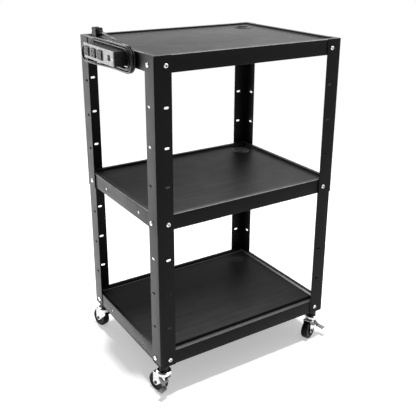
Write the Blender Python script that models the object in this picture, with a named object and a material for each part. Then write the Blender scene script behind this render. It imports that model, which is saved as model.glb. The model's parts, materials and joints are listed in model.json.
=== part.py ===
"""Audio visual cart: three steel pan shelves bolted into four telescoping angle legs, on four
swivel casters, two of them with a foot brake. A three-outlet power strip hangs on the left apron
of the top shelf, with its cord wound over the strip and round two half-round saddles.

Metres, +Z up. The origin is on the floor, under the middle of the shelves. The long front side
faces -Y and the side with the power strip faces -X.
"""

import math

import bmesh
import bpy
import numpy as np
from mathutils import Matrix, Vector

for old in list(bpy.data.objects):
    bpy.data.objects.remove(old, do_unlink=True)

# Overall sizes
CART_LONG = 0.6096
CART_DEEP = 0.4572
LEG_FOOT_HEIGHT = 0.0985
HOLE_PITCH = 0.1057
SHELF_STEPS = (0, 4, 8)
SHELF_NAMES = ("bottom_shelf", "middle_shelf", "top_shelf")
SEAT_GAP = 0.0003
CUT_OVERRUN = 0.002
WELD_TOLERANCE = 0.000001

# Angle legs
LEG_FLANGE = 0.0493
LEG_SHEET = 0.0015
LEG_BEND_RADIUS = 0.0015
LEG_LAP_BELOW = 0.022
LEG_LAP_ABOVE = 0.020
HOLE_INSET = 0.033
SLOT_LENGTH = 0.014
SLOT_HEIGHT = 0.0065

# Pan shelves
APRON_HEIGHT = 0.0454
SHELF_SHEET = 0.0012
RIM_WIDTH = 0.013
PAN_RECESS = 0.00635
PAN_SLOPE = 0.003
PAN_CORNER_RADIUS = 0.006
SHELF_CORNER_RADIUS = 0.0015
SHELF_EDGE_RADIUS = 0.0015
RETURN_FLANGE = 0.012
BOLT_DROP = 0.0258

# Shelf bolts and nuts
BOLT_DIAMETER = 0.006
BOLT_HOLE_DIAMETER = 0.0070
BOLT_HEAD_DIAMETER = 0.0125
BOLT_HEAD_HEIGHT = 0.0034
BOLT_SOCKET_DIAMETER = 0.0044
BOLT_SOCKET_DEPTH = 0.0018
BOLT_TIP = 0.002
HEAD_LAP = 0.0003
NUT_ACROSS_FLATS = 0.010
NUT_HEIGHT = 0.005
THREAD_GAP = 0.0004

# Cable grommets
GROMMET_INSET_X = 0.0708
GROMMET_INSET_Y = 0.0736
GROMMET_FLANGE_DIAMETER = 0.060
GROMMET_FLANGE_HEIGHT = 0.0022
GROMMET_TUBE_DIAMETER = 0.051
GROMMET_TUBE_DEPTH = 0.012
GROMMET_WALL = 0.0025
GROMMET_LEDGE = 0.002
GROMMET_FIT = 0.0004
CAP_SHEET = 0.002
CABLE_HOLE_DIAMETER = 0.034
CABLE_HOLE_OFFSET = 0.005
CABLE_NOTCH_WIDTH = 0.008
CABLE_NOTCH_REACH = 0.021

# Casters
CASTER_INSET = 0.023
WHEEL_DIAMETER = 0.060
WHEEL_WIDTH = 0.022
TREAD_THICKNESS = 0.009
TREAD_CROWN = 0.0012
TREAD_SHOULDER = 0.003
HUB_WEB = 0.010
HUB_RIM = 0.0035
HUB_BOSS_DIAMETER = 0.015
WHEEL_SIDE_GAP = 0.0013
WHEEL_TOP_GAP = 0.0035
CASTER_TRAIL = 0.022
FORK_SHEET = 0.002
FORK_FRONT = 0.015
FORK_CHEEK_DROP = 0.013
FORK_BOSS_RADIUS = 0.0085
AXLE_DIAMETER = 0.006
AXLE_HEAD_DIAMETER = 0.011
AXLE_HEAD_HEIGHT = 0.0022
RACE_DIAMETER = 0.040
RACE_HEIGHT = 0.0045
CUP_DIAMETER = 0.047
CUP_HEIGHT = 0.0078
CUP_GAP = 0.0006
KINGPIN_DIAMETER = 0.010
KINGPIN_HEAD_DIAMETER = 0.015
KINGPIN_HEAD_HEIGHT = 0.0035
RUNNING_GAP = 0.0005
COLLAR_DIAMETER = 0.026
COLLAR_CHAMFER = 0.0015
GUSSET_SIDE = 0.046
GUSSET_SHEET = 0.0025
STEM_NUT_ACROSS_FLATS = 0.017
STEM_NUT_HEIGHT = 0.007
STEM_END = 0.003
CASTER_HEADINGS = {"front_left": 108.0, "front_right": 201.0, "rear_left": 105.0, "rear_right": 140.0}
BRAKED_CASTERS = ("front_left", "front_right")

# Foot brakes
BRAKE_SHEET = 0.002
BRAKE_PIVOT_TRAIL = 0.001
BRAKE_PIVOT_HEIGHT = 0.0545
BRAKE_PIVOT_DIAMETER = 0.004
BRAKE_EAR_RADIUS = 0.006
EAR_START_ANGLE = -45.0
EAR_END_ANGLE = 180.0
PEDAL_TRAIL = -0.018
PEDAL_HEIGHT = 0.030
PEDAL_LENGTH = 0.017
PEDAL_REACH = 0.020
PEDAL_DROP = 0.004
PEDAL_LIP = 0.005
PEDAL_SETBACK = 0.0004
SHOE_HEIGHT = 0.041
SHOE_LENGTH = 0.008
SHOE_REACH = 0.007
SHOE_GAP = 0.003

# Power strip
STRIP_LENGTH = 0.186
STRIP_CENTRE_Y = -0.004
STRIP_HEIGHT = 0.0395
STRIP_DEPTH = 0.042
STRIP_RIM_DROP = 0.0035
STRIP_WALL = 0.002
STRIP_EDGE_RADIUS = 0.0015
FACEPLATE_SHEET = 0.003
FACEPLATE_EDGE = 0.0008
OUTLET_WIDTH = 0.0275
OUTLET_HEIGHT = 0.025
OUTLET_PITCH_SHARE = 0.2285
OUTLET_END_MARGIN = 0.00735
OUTLET_PROUD = 0.004
OUTLET_BODY_DEPTH = 0.018
OUTLET_EDGE = 0.0012
BLADE_SLOT_HEIGHT = 0.0075
BLADE_SLOT_WIDTH = 0.0018
BLADE_SPACING = 0.0127
EARTH_HOLE_DIAMETER = 0.0048
EARTH_DROP = 0.0095
SOCKET_DEPTH = 0.012
SOCKET_LIFT = 0.003
SWITCH_END_MARGIN = 0.0263
SWITCH_WIDTH = 0.0134
SWITCH_HEIGHT = 0.0135
SWITCH_GAP = 0.0006
SWITCH_TILT = 9.0
SWITCH_CORNER_ANGLE = 38.0
SWITCH_PIVOT_DEPTH = 0.0028
SCREW_HEAD_DIAMETER = 0.005
SCREW_HEAD_HEIGHT = 0.0012
SCREW_SHANK_DIAMETER = 0.0026
SCREW_END_INSET = 0.0036
SCREW_LENGTH = 0.008

# Strip bracket and its cord saddles
BRACKET_SHEET = 0.0015
SADDLE_SHEET = 0.0015
SADDLE_LIP = 0.0035
SADDLE_GAP = 0.0008
BRACKET_SCREW_INSET = 0.014
BRACKET_SCREW_HEAD = 0.008
BRACKET_SCREW_HEAD_HEIGHT = 0.002
BRACKET_SCREW_DIAMETER = 0.004
BRACKET_SCREW_REACH = 0.006
SPARE_HOLE_DIAMETER = 0.009

# Power cord: two columns side by side on the bracket, each two turns thick
CORD_DIAMETER = 0.0066
CORD_PITCH = 0.0072
CORD_TOP_GAP = 0.0006
CORD_WALL_GAP = 0.0006
WINDING_HEIGHT = 0.073
SADDLE_END_GAP = 0.0048
ARC_STATIONS = 8
RUN_STATIONS = 4
START_STATION = 1
TURNS_TO_END = 3
STEP_IN_STATIONS = (20.5, 23.5)
CLIMB_STATIONS = (38.5, 43.5)
STEP_OUT_STATIONS = (58.5, 61.5)
GLAND_LENGTH = 0.021
GLAND_ROOT_DIAMETER = 0.0135
GLAND_TIP_DIAMETER = 0.0088
GLAND_FLANGE = 0.0025
GLAND_RISE = 0.0105
GLAND_OUTBOARD = 0.030
LEAD_STRAIGHT = 0.007
LEAD_OUT_CLIMB = 0.0085
LEAD_OUT_CLIMB_LENGTH = 0.075
PLUG_SETBACK = 0.033
PLUG_LENGTH = 0.036
PLUG_WIDTH = 0.022
PLUG_HEIGHT = 0.024
PLUG_RELIEF_LENGTH = 0.014
PLUG_RELIEF_DIAMETER = 0.009
PLUG_EDGE = 0.003
PRONG_LENGTH = 0.017
PRONG_SHEET = 0.0015
PRONG_WIDTH = 0.0063
PRONG_SPACING = 0.0127
EARTH_PIN_DIAMETER = 0.0047
EARTH_PIN_OFFSET = 0.0065

# Counts and shares that set how finely round pieces are faceted
FINE_SIDES = 18
WHEEL_SIDES = 20
RACE_SIDES = 16
SMALL_SIDES = 10
BOLT_SIDES = 8
SLOT_END_STEPS = 3
BEND_STEPS = 3
SMOOTH_ANGLE = 35.0
HEX_SIDES = 6

# Positions that follow from the sizes above
FIRST_BOLT_Z = LEG_FOOT_HEIGHT + APRON_HEIGHT - BOLT_DROP
LOWER_LEG_INSET = LEG_SHEET + SEAT_GAP
GUSSET_BOTTOM = LEG_FOOT_HEIGHT + SHELF_SHEET / 2
GUSSET_TOP = GUSSET_BOTTOM + GUSSET_SHEET
CORNERS = {
    "front_left": (-1, -1, 0.0),
    "front_right": (1, -1, 90.0),
    "rear_right": (1, 1, 180.0),
    "rear_left": (-1, 1, 270.0),
}


def bolt_z(step):
    return FIRST_BOLT_Z + step * HOLE_PITCH


def rim_z(step):
    return bolt_z(step) + BOLT_DROP


def shelf_inset(step):
    """How far a shelf's apron lies inside the cart's outer faces: behind one leg or two."""
    layers = 1 if step == SHELF_STEPS[-1] else 2
    return layers * LOWER_LEG_INSET


def caster_place(corner):
    side_x, side_y, _ = CORNERS[corner]
    return (side_x * (CART_LONG / 2 - CASTER_INSET), side_y * (CART_DEEP / 2 - CASTER_INSET), 0.0)


# Materials


def material(name, colour, roughness, metallic):
    made = bpy.data.materials.new(name)
    made.use_nodes = True
    shader = made.node_tree.nodes["Principled BSDF"]
    shader.inputs["Base Color"].default_value = (*colour, 1.0)
    shader.inputs["Roughness"].default_value = roughness
    shader.inputs["Metallic"].default_value = metallic
    return made


BLACK_POWDER_COAT = ("black_powder_coat", (0.018, 0.018, 0.019), 0.5, 0.0)
ZINC_PLATE = ("zinc_plate", (0.62, 0.63, 0.65), 0.3, 1.0)
CHROME_PLATE = ("chrome_plate", (0.72, 0.73, 0.75), 0.16, 1.0)
BLACK_PLASTIC = ("black_plastic", (0.022, 0.022, 0.023), 0.42, 0.0)
TREAD_RUBBER = ("tread_rubber", (0.02, 0.02, 0.02), 0.7, 0.0)
GREY_PLASTIC = ("grey_plastic", (0.48, 0.48, 0.47), 0.42, 0.0)
CORD_JACKET = ("cord_jacket", (0.085, 0.085, 0.088), 0.55, 0.0)
PRONG_METAL = ("prong_metal", (0.72, 0.68, 0.58), 0.28, 1.0)


# Mesh helpers


def make_object(name, bm, finish, location=(0.0, 0.0, 0.0), turn=0.0):
    """A named object from a bmesh, with its own material, smooth where it is round."""
    bmesh.ops.remove_doubles(bm, verts=bm.verts[:], dist=WELD_TOLERANCE)
    bmesh.ops.recalc_face_normals(bm, faces=bm.faces[:])
    mesh = bpy.data.meshes.new(name)
    bm.to_mesh(mesh)
    bm.free()
    mesh.shade_smooth()
    mesh.set_sharp_from_angle(angle=math.radians(SMOOTH_ANGLE))
    obj = bpy.data.objects.new(name, mesh)
    bpy.context.scene.collection.objects.link(obj)
    obj.location = location
    obj.rotation_euler = (0.0, 0.0, math.radians(turn))
    mesh.materials.append(material(name + "_" + finish[0], *finish[1:]))
    return obj


def prism(outline, low, high):
    """A bmesh with an outline in X and Y, extruded along Z from low to high."""
    bm = bmesh.new()
    face = bm.faces.new([bm.verts.new((x, y, low)) for x, y in outline])
    grown = bmesh.ops.extrude_face_region(bm, geom=[face])
    tops = [v for v in grown["geom"] if isinstance(v, bmesh.types.BMVert)]
    bmesh.ops.translate(bm, verts=tops, vec=(0.0, 0.0, high - low))
    bmesh.ops.recalc_face_normals(bm, faces=bm.faces[:])
    return bm


def block(low, high):
    """A bmesh box between two corners."""
    outline = [(low[0], low[1]), (high[0], low[1]), (high[0], high[1]), (low[0], high[1])]
    return prism(outline, low[2], high[2])


def lathe(profile, sides):
    """(radius, height) points turned round Z. The profile ends on the axis or meets itself."""
    bm = bmesh.new()
    verts = [bm.verts.new((radius, 0.0, height)) for radius, height in profile]
    edges = [bm.edges.new(pair) for pair in zip(verts, verts[1:])]
    bmesh.ops.spin(
        bm,
        geom=verts + edges,
        cent=(0.0, 0.0, 0.0),
        axis=(0.0, 0.0, 1.0),
        angle=math.tau,
        steps=sides,
        use_merge=True,
    )
    bmesh.ops.remove_doubles(bm, verts=bm.verts[:], dist=WELD_TOLERANCE)
    bmesh.ops.dissolve_degenerate(bm, dist=WELD_TOLERANCE, edges=bm.edges[:])
    bmesh.ops.recalc_face_normals(bm, faces=bm.faces[:])
    return bm


def ring_outline(radius, sides, centre=(0.0, 0.0), start=0.0):
    steps = [start + math.tau * i / sides for i in range(sides)]
    return [(centre[0] + radius * math.cos(a), centre[1] + radius * math.sin(a)) for a in steps]


def rounded_outline(half_x, half_y, radius, steps):
    """A rectangle round the origin with rounded corners, anticlockwise."""
    points = []
    for sign_x, sign_y, first in ((1, -1, -90.0), (1, 1, 0.0), (-1, 1, 90.0), (-1, -1, 180.0)):
        for i in range(steps + 1):
            angle = math.radians(first + 90.0 * i / steps)
            x = sign_x * (half_x - radius) + radius * math.cos(angle)
            y = sign_y * (half_y - radius) + radius * math.sin(angle)
            points.append((x, y))
    return points


def slot_outline(length, height):
    """A slot along X with round ends, round the origin."""
    radius = height / 2
    reach = length / 2 - radius
    points = []
    for side, first in ((1, -90.0), (-1, 90.0)):
        for i in range(SLOT_END_STEPS + 1):
            angle = math.radians(first + 180.0 * i / SLOT_END_STEPS)
            points.append((side * reach + radius * math.cos(angle), radius * math.sin(angle)))
    return points


def moved(bm, matrix):
    bmesh.ops.transform(bm, matrix=matrix, verts=bm.verts[:])
    return bm


def together(parts):
    """One bmesh that holds several, which stay separate bodies."""
    whole = bmesh.new()
    for part in parts:
        mesh = bpy.data.meshes.new("part")
        part.to_mesh(mesh)
        part.free()
        whole.from_mesh(mesh)
        bpy.data.meshes.remove(mesh)
    return whole


def combined(target, tool, operation):
    """The exact Boolean of two bmeshes, as a new bmesh. Both are used up."""
    pair = []
    for label, bm in (("target", target), ("tool", tool)):
        bmesh.ops.recalc_face_normals(bm, faces=bm.faces[:])
        mesh = bpy.data.meshes.new(label)
        bm.to_mesh(mesh)
        bm.free()
        obj = bpy.data.objects.new(label, mesh)
        bpy.context.scene.collection.objects.link(obj)
        pair.append(obj)
    change = pair[0].modifiers.new("change", "BOOLEAN")
    change.operation = operation
    change.solver = "EXACT"
    change.object = pair[1]
    bpy.context.view_layer.update()
    result = pair[0].evaluated_get(bpy.context.evaluated_depsgraph_get()).to_mesh()
    bm = bmesh.new()
    bm.from_mesh(result)
    for obj in pair:
        mesh = obj.data
        bpy.data.objects.remove(obj, do_unlink=True)
        bpy.data.meshes.remove(mesh)
    return bm


def cut(target, tool):
    return combined(target, tool, "DIFFERENCE")


def joined(target, tool):
    return combined(target, tool, "UNION")


# Turns that bring a shape drawn in X and Y, and extruded along Z, to face along an axis
FACING_Y = Matrix.Rotation(math.radians(90.0), 4, "X")
FACING_X = Matrix.Rotation(math.radians(90.0), 4, "Z") @ FACING_Y

# A turn that brings +Z to -X, for the fasteners driven in from the left
OUT_TO_LEFT = Matrix.Rotation(math.radians(-90.0), 4, "Y")


# Angle legs


def leg_outline(inset):
    """The leg's L section, corner at the origin, flanges along +X and +Y, drawn in by inset."""
    inner = LEG_BEND_RADIUS
    outer = LEG_BEND_RADIUS + LEG_SHEET
    end = inset + LEG_FLANGE
    centre = inset + outer
    back = inset + LEG_SHEET
    points = [(end, inset), (end, back)]
    for i in range(BEND_STEPS + 1):
        angle = math.radians(270.0 - 90.0 * i / BEND_STEPS)
        points.append((centre + inner * math.cos(angle), centre + inner * math.sin(angle)))
    points += [(back, end), (inset, end)]
    for i in range(BEND_STEPS + 1):
        angle = math.radians(180.0 + 90.0 * i / BEND_STEPS)
        points.append((centre + outer * math.cos(angle), centre + outer * math.sin(angle)))
    return points


def leg_cutters(inset, hole_steps, slot_steps):
    """Round bolt holes and slots through both flanges of a leg."""
    tools = []
    for step in hole_steps + slot_steps:
        if step in hole_steps:
            outline = ring_outline(BOLT_HOLE_DIAMETER / 2, BOLT_SIDES)
        else:
            outline = slot_outline(SLOT_LENGTH, SLOT_HEIGHT)
        depth = inset + LEG_SHEET + CUT_OVERRUN
        place = Matrix.Translation((HOLE_INSET, 0.0, bolt_z(step)))
        tools.append(moved(prism(outline, -depth, CUT_OVERRUN), place @ FACING_Y))
        place = Matrix.Translation((0.0, HOLE_INSET, bolt_z(step)))
        tools.append(moved(prism(outline, -CUT_OVERRUN, depth), place @ FACING_X))
    return together(tools)


def leg_bolt(step, inset):
    """A round-head bolt with a driver socket, its seat at z = 0 and its shank down -Z into a nut.

    It ends in the nut behind the shelf's apron. Its head is sunk a little into the leg it holds.
    """
    head = BOLT_HEAD_DIAMETER / 2
    shank = BOLT_DIAMETER / 2
    socket = BOLT_SOCKET_DIAMETER / 2
    brow_share = 0.72
    nut_seat = shelf_inset(step) + SHELF_SHEET + SEAT_GAP - inset
    tip = nut_seat + NUT_HEIGHT + BOLT_TIP
    profile = [
        (0.0, -tip),
        (shank, -tip),
        (shank, -HEAD_LAP),
        (head, -HEAD_LAP),
        (head * brow_share, BOLT_HEAD_HEIGHT * brow_share),
        (socket, BOLT_HEAD_HEIGHT),
        (0.0, BOLT_HEAD_HEIGHT - BOLT_SOCKET_DEPTH),
    ]
    corner = NUT_ACROSS_FLATS / 2 / math.cos(math.pi / HEX_SIDES)
    nut = prism(ring_outline(corner, HEX_SIDES), -nut_seat - NUT_HEIGHT, -nut_seat)
    return joined(lathe(profile, BOLT_SIDES), nut)


def make_legs():
    """Each leg with the bolts that its shelves hang on: two to a shelf, one through each flange."""
    middle_step = SHELF_STEPS[1]
    upper_low = bolt_z(middle_step) - LEG_LAP_BELOW
    lower_high = bolt_z(middle_step) + LEG_LAP_ABOVE
    top = rim_z(SHELF_STEPS[2])
    upper_slots = tuple(range(SHELF_STEPS[1] + 1, SHELF_STEPS[2]))
    lower_slots = tuple(range(SHELF_STEPS[0] + 1, SHELF_STEPS[1]))
    foot = LEG_FOOT_HEIGHT
    lap_hole = (middle_step,)
    kinds = (
        ("upper_leg", 0.0, upper_low, top, (), upper_slots, SHELF_STEPS[1:]),
        ("lower_leg", LOWER_LEG_INSET, foot, lower_high, lap_hole, lower_slots, SHELF_STEPS[:1]),
    )
    for kind, inset, low, high, hole_steps, slot_steps, bolt_steps in kinds:
        pattern = cut(prism(leg_outline(inset), low, high), leg_cutters(inset, hole_steps, slot_steps))
        bolts = []
        for step in bolt_steps:
            spot = Matrix.Translation((HOLE_INSET, inset, bolt_z(step)))
            bolts.append(moved(leg_bolt(step, inset), spot @ FACING_Y))
            spot = Matrix.Translation((inset, HOLE_INSET, bolt_z(step)))
            bolts.append(moved(leg_bolt(step, inset), spot @ OUT_TO_LEFT))
        pattern = joined(pattern, together(bolts))
        for corner, (side_x, side_y, turn) in CORNERS.items():
            place = (side_x * CART_LONG / 2, side_y * CART_DEEP / 2, 0.0)
            make_object(f"{kind}_{corner}", pattern.copy(), BLACK_POWDER_COAT, place, turn)
        pattern.free()


# Pan shelves


def shelf_profile():
    """The pressed section as (inset, height from the rim, corner radius), outside then inside."""
    edge = SHELF_EDGE_RADIUS
    diagonal_share = 1.0 - math.sqrt(0.5)
    step_end = RIM_WIDTH + PAN_SLOPE
    outside = [
        (RETURN_FLANGE, -APRON_HEIGHT, SHELF_CORNER_RADIUS),
        (edge, -APRON_HEIGHT, SHELF_CORNER_RADIUS),
        (edge * diagonal_share, edge * diagonal_share - APRON_HEIGHT, SHELF_CORNER_RADIUS),
        (0.0, edge - APRON_HEIGHT, SHELF_CORNER_RADIUS),
        (0.0, -edge, SHELF_CORNER_RADIUS),
        (edge * diagonal_share, -edge * diagonal_share, SHELF_CORNER_RADIUS),
        (edge, 0.0, SHELF_CORNER_RADIUS),
        (RIM_WIDTH, 0.0, PAN_CORNER_RADIUS),
        (step_end, -PAN_RECESS, PAN_CORNER_RADIUS),
    ]
    sheet = SHELF_SHEET
    inside = [
        (step_end - sheet, -PAN_RECESS - sheet, PAN_CORNER_RADIUS),
        (RIM_WIDTH - sheet, -sheet, PAN_CORNER_RADIUS),
        (sheet + edge, -sheet, SHELF_CORNER_RADIUS),
        (sheet, -sheet - edge, SHELF_CORNER_RADIUS),
        (sheet, sheet + edge - APRON_HEIGHT, SHELF_CORNER_RADIUS),
        (sheet + edge, sheet - APRON_HEIGHT, SHELF_CORNER_RADIUS),
        (RETURN_FLANGE, sheet - APRON_HEIGHT, SHELF_CORNER_RADIUS),
    ]
    return outside, inside


def shelf_sheet(half_x, half_y, top):
    """The pan as one closed sheet: its section carried round the rectangle, and its two floors."""
    outside, inside = shelf_profile()
    bm = bmesh.new()
    rings = []
    for inset, height, radius in outside + inside:
        outline = rounded_outline(half_x - inset, half_y - inset, radius, BEND_STEPS - 1)
        rings.append([bm.verts.new((x, y, top + height)) for x, y in outline])
    count = len(rings[0])
    floor_rings = (len(outside) - 1, len(outside))
    for index in range(len(rings)):
        if index == floor_rings[0]:
            continue
        near = rings[index]
        far = rings[(index + 1) % len(rings)]
        for i in range(count):
            j = (i + 1) % count
            bm.faces.new((near[i], near[j], far[j], far[i]))
    for index in floor_rings:
        bm.faces.new(rings[index])
    bmesh.ops.recalc_face_normals(bm, faces=bm.faces[:])
    return bm


def shelf_cutters(step, half_x, half_y, has_grommet):
    """The bolt holes, the cable hole, the strip's screw holes, and the spare ones on lower shelves."""
    tools = []
    reach = SHELF_SHEET + CUT_OVERRUN
    hole = ring_outline(BOLT_HOLE_DIAMETER / 2, BOLT_SIDES)
    along_x = CART_LONG / 2 - HOLE_INSET
    along_y = CART_DEEP / 2 - HOLE_INSET
    for side in (-1, 1):
        for other in (-1, 1):
            place = Matrix.Translation((other * along_x, side * half_y, bolt_z(step)))
            tools.append(moved(prism(hole, -reach, reach), place @ FACING_Y))
            place = Matrix.Translation((side * half_x, other * along_y, bolt_z(step)))
            tools.append(moved(prism(hole, -reach, reach), place @ FACING_X))
    if has_grommet:
        bore = ring_outline(GROMMET_TUBE_DIAMETER / 2 + GROMMET_FIT, FINE_SIDES, grommet_centre())
        floor = rim_z(step) - PAN_RECESS
        tools.append(prism(bore, floor - SHELF_SHEET - CUT_OVERRUN, floor + CUT_OVERRUN))
    if step == SHELF_STEPS[0]:
        stem = KINGPIN_DIAMETER / 2 + THREAD_GAP
        for corner in CORNERS:
            x, y, _ = caster_place(corner)
            hole = ring_outline(stem, SMALL_SIDES, (x, y))
            tools.append(prism(hole, LEG_FOOT_HEIGHT - CUT_OVERRUN, GUSSET_TOP + CUT_OVERRUN))
    carries_strip = step == SHELF_STEPS[-1]
    radius = BRACKET_SCREW_DIAMETER / 2 + THREAD_GAP if carries_strip else SPARE_HOLE_DIAMETER / 2
    level = strip_middle_z() if carries_strip else bolt_z(step)
    screw = ring_outline(radius, SMALL_SIDES)
    for y in bracket_screw_places():
        place = Matrix.Translation((-half_x, y, level))
        tools.append(moved(prism(screw, -reach, reach), place @ FACING_X))
    return together(tools)


def caster_gussets(half_x, half_y):
    """Square plates welded into the bottom pan's corners, on the return flange, to carry the casters."""
    plates = []
    lap = SHELF_SHEET / 2
    for side_x, side_y, _ in CORNERS.values():
        low_x, high_x = sorted((side_x * (half_x - lap), side_x * (half_x - GUSSET_SIDE)))
        low_y, high_y = sorted((side_y * (half_y - lap), side_y * (half_y - GUSSET_SIDE)))
        plates.append(block((low_x, low_y, GUSSET_BOTTOM), (high_x, high_y, GUSSET_TOP)))
    return together(plates)


def grommet_centre():
    return (CART_LONG / 2 - GROMMET_INSET_X, CART_DEEP / 2 - GROMMET_INSET_Y)


def make_shelves():
    for name, step in zip(SHELF_NAMES, SHELF_STEPS):
        half_x = CART_LONG / 2 - shelf_inset(step)
        half_y = CART_DEEP / 2 - shelf_inset(step)
        has_grommet = step != SHELF_STEPS[0]
        sheet = shelf_sheet(half_x, half_y, rim_z(step))
        if step == SHELF_STEPS[0]:
            sheet = joined(sheet, caster_gussets(half_x, half_y))
        shelf = cut(sheet, shelf_cutters(step, half_x, half_y, has_grommet))
        make_object(name, shelf, BLACK_POWDER_COAT)


# Cable grommets


def make_grommets():
    flange = GROMMET_FLANGE_DIAMETER / 2
    tube = GROMMET_TUBE_DIAMETER / 2
    bore = tube - GROMMET_WALL
    ledge = bore - GROMMET_LEDGE
    lap = GROMMET_FLANGE_HEIGHT + SEAT_GAP
    ledge_top = GROMMET_FLANGE_HEIGHT - CAP_SHEET
    ring = [
        (tube, -GROMMET_TUBE_DEPTH),
        (tube, SEAT_GAP),
        (flange, SEAT_GAP),
        (flange - GROMMET_FLANGE_HEIGHT / 2, lap),
        (bore, lap),
        (bore, ledge_top - SEAT_GAP),
        (ledge, ledge_top - SEAT_GAP),
        (ledge, ledge_top - SEAT_GAP - GROMMET_LEDGE),
        (bore, ledge_top - SEAT_GAP - GROMMET_LEDGE * 2),
        (bore, -GROMMET_TUBE_DEPTH),
        (tube, -GROMMET_TUBE_DEPTH),
    ]
    x, y = grommet_centre()
    for name, step in zip(SHELF_NAMES[1:], SHELF_STEPS[1:]):
        floor = rim_z(step) - PAN_RECESS
        label = name.split("_")[0]
        make_object(f"grommet_ring_{label}", lathe(ring, FINE_SIDES), BLACK_PLASTIC, (x, y, floor))
        disc = prism(ring_outline(bore - GROMMET_FIT, FINE_SIDES), ledge_top, lap)
        hole_centre = (-CABLE_HOLE_OFFSET, 0.0)
        hole = ring_outline(CABLE_HOLE_DIAMETER / 2, FINE_SIDES, hole_centre)
        cable_hole = prism(hole, ledge_top - CUT_OVERRUN, lap + CUT_OVERRUN)
        half_notch = CABLE_NOTCH_WIDTH / 2
        notch = block(
            (0.0, -half_notch, ledge_top - CUT_OVERRUN),
            (CABLE_NOTCH_REACH, half_notch, lap + CUT_OVERRUN),
        )
        opened = cut(disc, joined(cable_hole, notch))
        make_object(f"grommet_cap_{label}", opened, BLACK_PLASTIC, (x, y, floor))


# Casters: in each caster's own frame +X is its trail and +Y its axle, with the swivel axis at the origin

WHEEL_RADIUS = WHEEL_DIAMETER / 2
CROWN_UNDERSIDE = WHEEL_DIAMETER + WHEEL_TOP_GAP
CROWN_TOP = CROWN_UNDERSIDE + FORK_SHEET
RACE_TOP = CROWN_TOP + RACE_HEIGHT
CUP_BOTTOM = RACE_TOP + CUP_GAP
CUP_TOP = CUP_BOTTOM + CUP_HEIGHT
FORK_INNER_HALF = WHEEL_WIDTH / 2 + WHEEL_SIDE_GAP
FORK_OUTER_HALF = FORK_INNER_HALF + FORK_SHEET


def fork_cheek_outline():
    """One cheek seen along the axle: upright behind, round below the axle, slanted in front."""
    front_low = CROWN_TOP - FORK_CHEEK_DROP
    axle = (CASTER_TRAIL, WHEEL_RADIUS)
    start = Vector((-FORK_FRONT, front_low))
    to_axle = Vector(axle) - start
    spread = math.asin(FORK_BOSS_RADIUS / to_axle.length)
    slant = math.atan2(to_axle.y, to_axle.x) - spread
    first = slant - math.pi / 2
    points = [(-FORK_FRONT, CROWN_TOP), (-FORK_FRONT, front_low)]
    steps = SMALL_SIDES // 2
    for i in range(steps + 1):
        angle = first + (0.0 - first) * i / steps
        x = axle[0] + FORK_BOSS_RADIUS * math.cos(angle)
        z = axle[1] + FORK_BOSS_RADIUS * math.sin(angle)
        points.append((x, z))
    points.append((CASTER_TRAIL + FORK_BOSS_RADIUS, CROWN_TOP))
    return points


def fork_shape(braked):
    """A U-shaped pressed fork with its lower ball race, bored for the kingpin and the axle."""
    channel_reach = CASTER_TRAIL + FORK_BOSS_RADIUS + CUT_OVERRUN
    fork = prism(fork_cheek_outline(), -FORK_OUTER_HALF, FORK_OUTER_HALF)
    fork = moved(fork, FACING_Y)
    channel = block(
        (-FORK_FRONT - CUT_OVERRUN, -FORK_INNER_HALF, 0.0),
        (channel_reach, FORK_INNER_HALF, CROWN_UNDERSIDE),
    )
    fork = cut(fork, channel)
    race = RACE_DIAMETER / 2
    groove = race - RACE_HEIGHT
    dish = lathe(
        [
            (0.0, CROWN_UNDERSIDE),
            (race, CROWN_UNDERSIDE),
            (race, CROWN_TOP),
            (groove, RACE_TOP),
            (0.0, RACE_TOP),
        ],
        RACE_SIDES,
    )
    fork = joined(fork, dish)
    bore = KINGPIN_DIAMETER / 2 + RUNNING_GAP
    bore_ring = ring_outline(bore, SMALL_SIDES)
    kingpin = prism(bore_ring, CROWN_UNDERSIDE - CUT_OVERRUN, RACE_TOP + CUT_OVERRUN)
    reach = FORK_OUTER_HALF + CUT_OVERRUN
    axle = prism(ring_outline(AXLE_DIAMETER / 2 + THREAD_GAP, SMALL_SIDES), -reach, reach)
    axle = moved(axle, Matrix.Translation((CASTER_TRAIL, 0.0, WHEEL_RADIUS)) @ FACING_Y)
    tools = [kingpin, axle]
    if braked:
        rivet = prism(ring_outline(BRAKE_PIVOT_DIAMETER / 2 + THREAD_GAP, SMALL_SIDES), -reach, 0.0)
        tools.append(moved(rivet, brake_pivot_matrix()))
    return cut(fork, together(tools))


def brake_pivot_matrix():
    return Matrix.Translation((BRAKE_PIVOT_TRAIL, 0.0, BRAKE_PIVOT_HEIGHT)) @ FACING_Y


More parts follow.
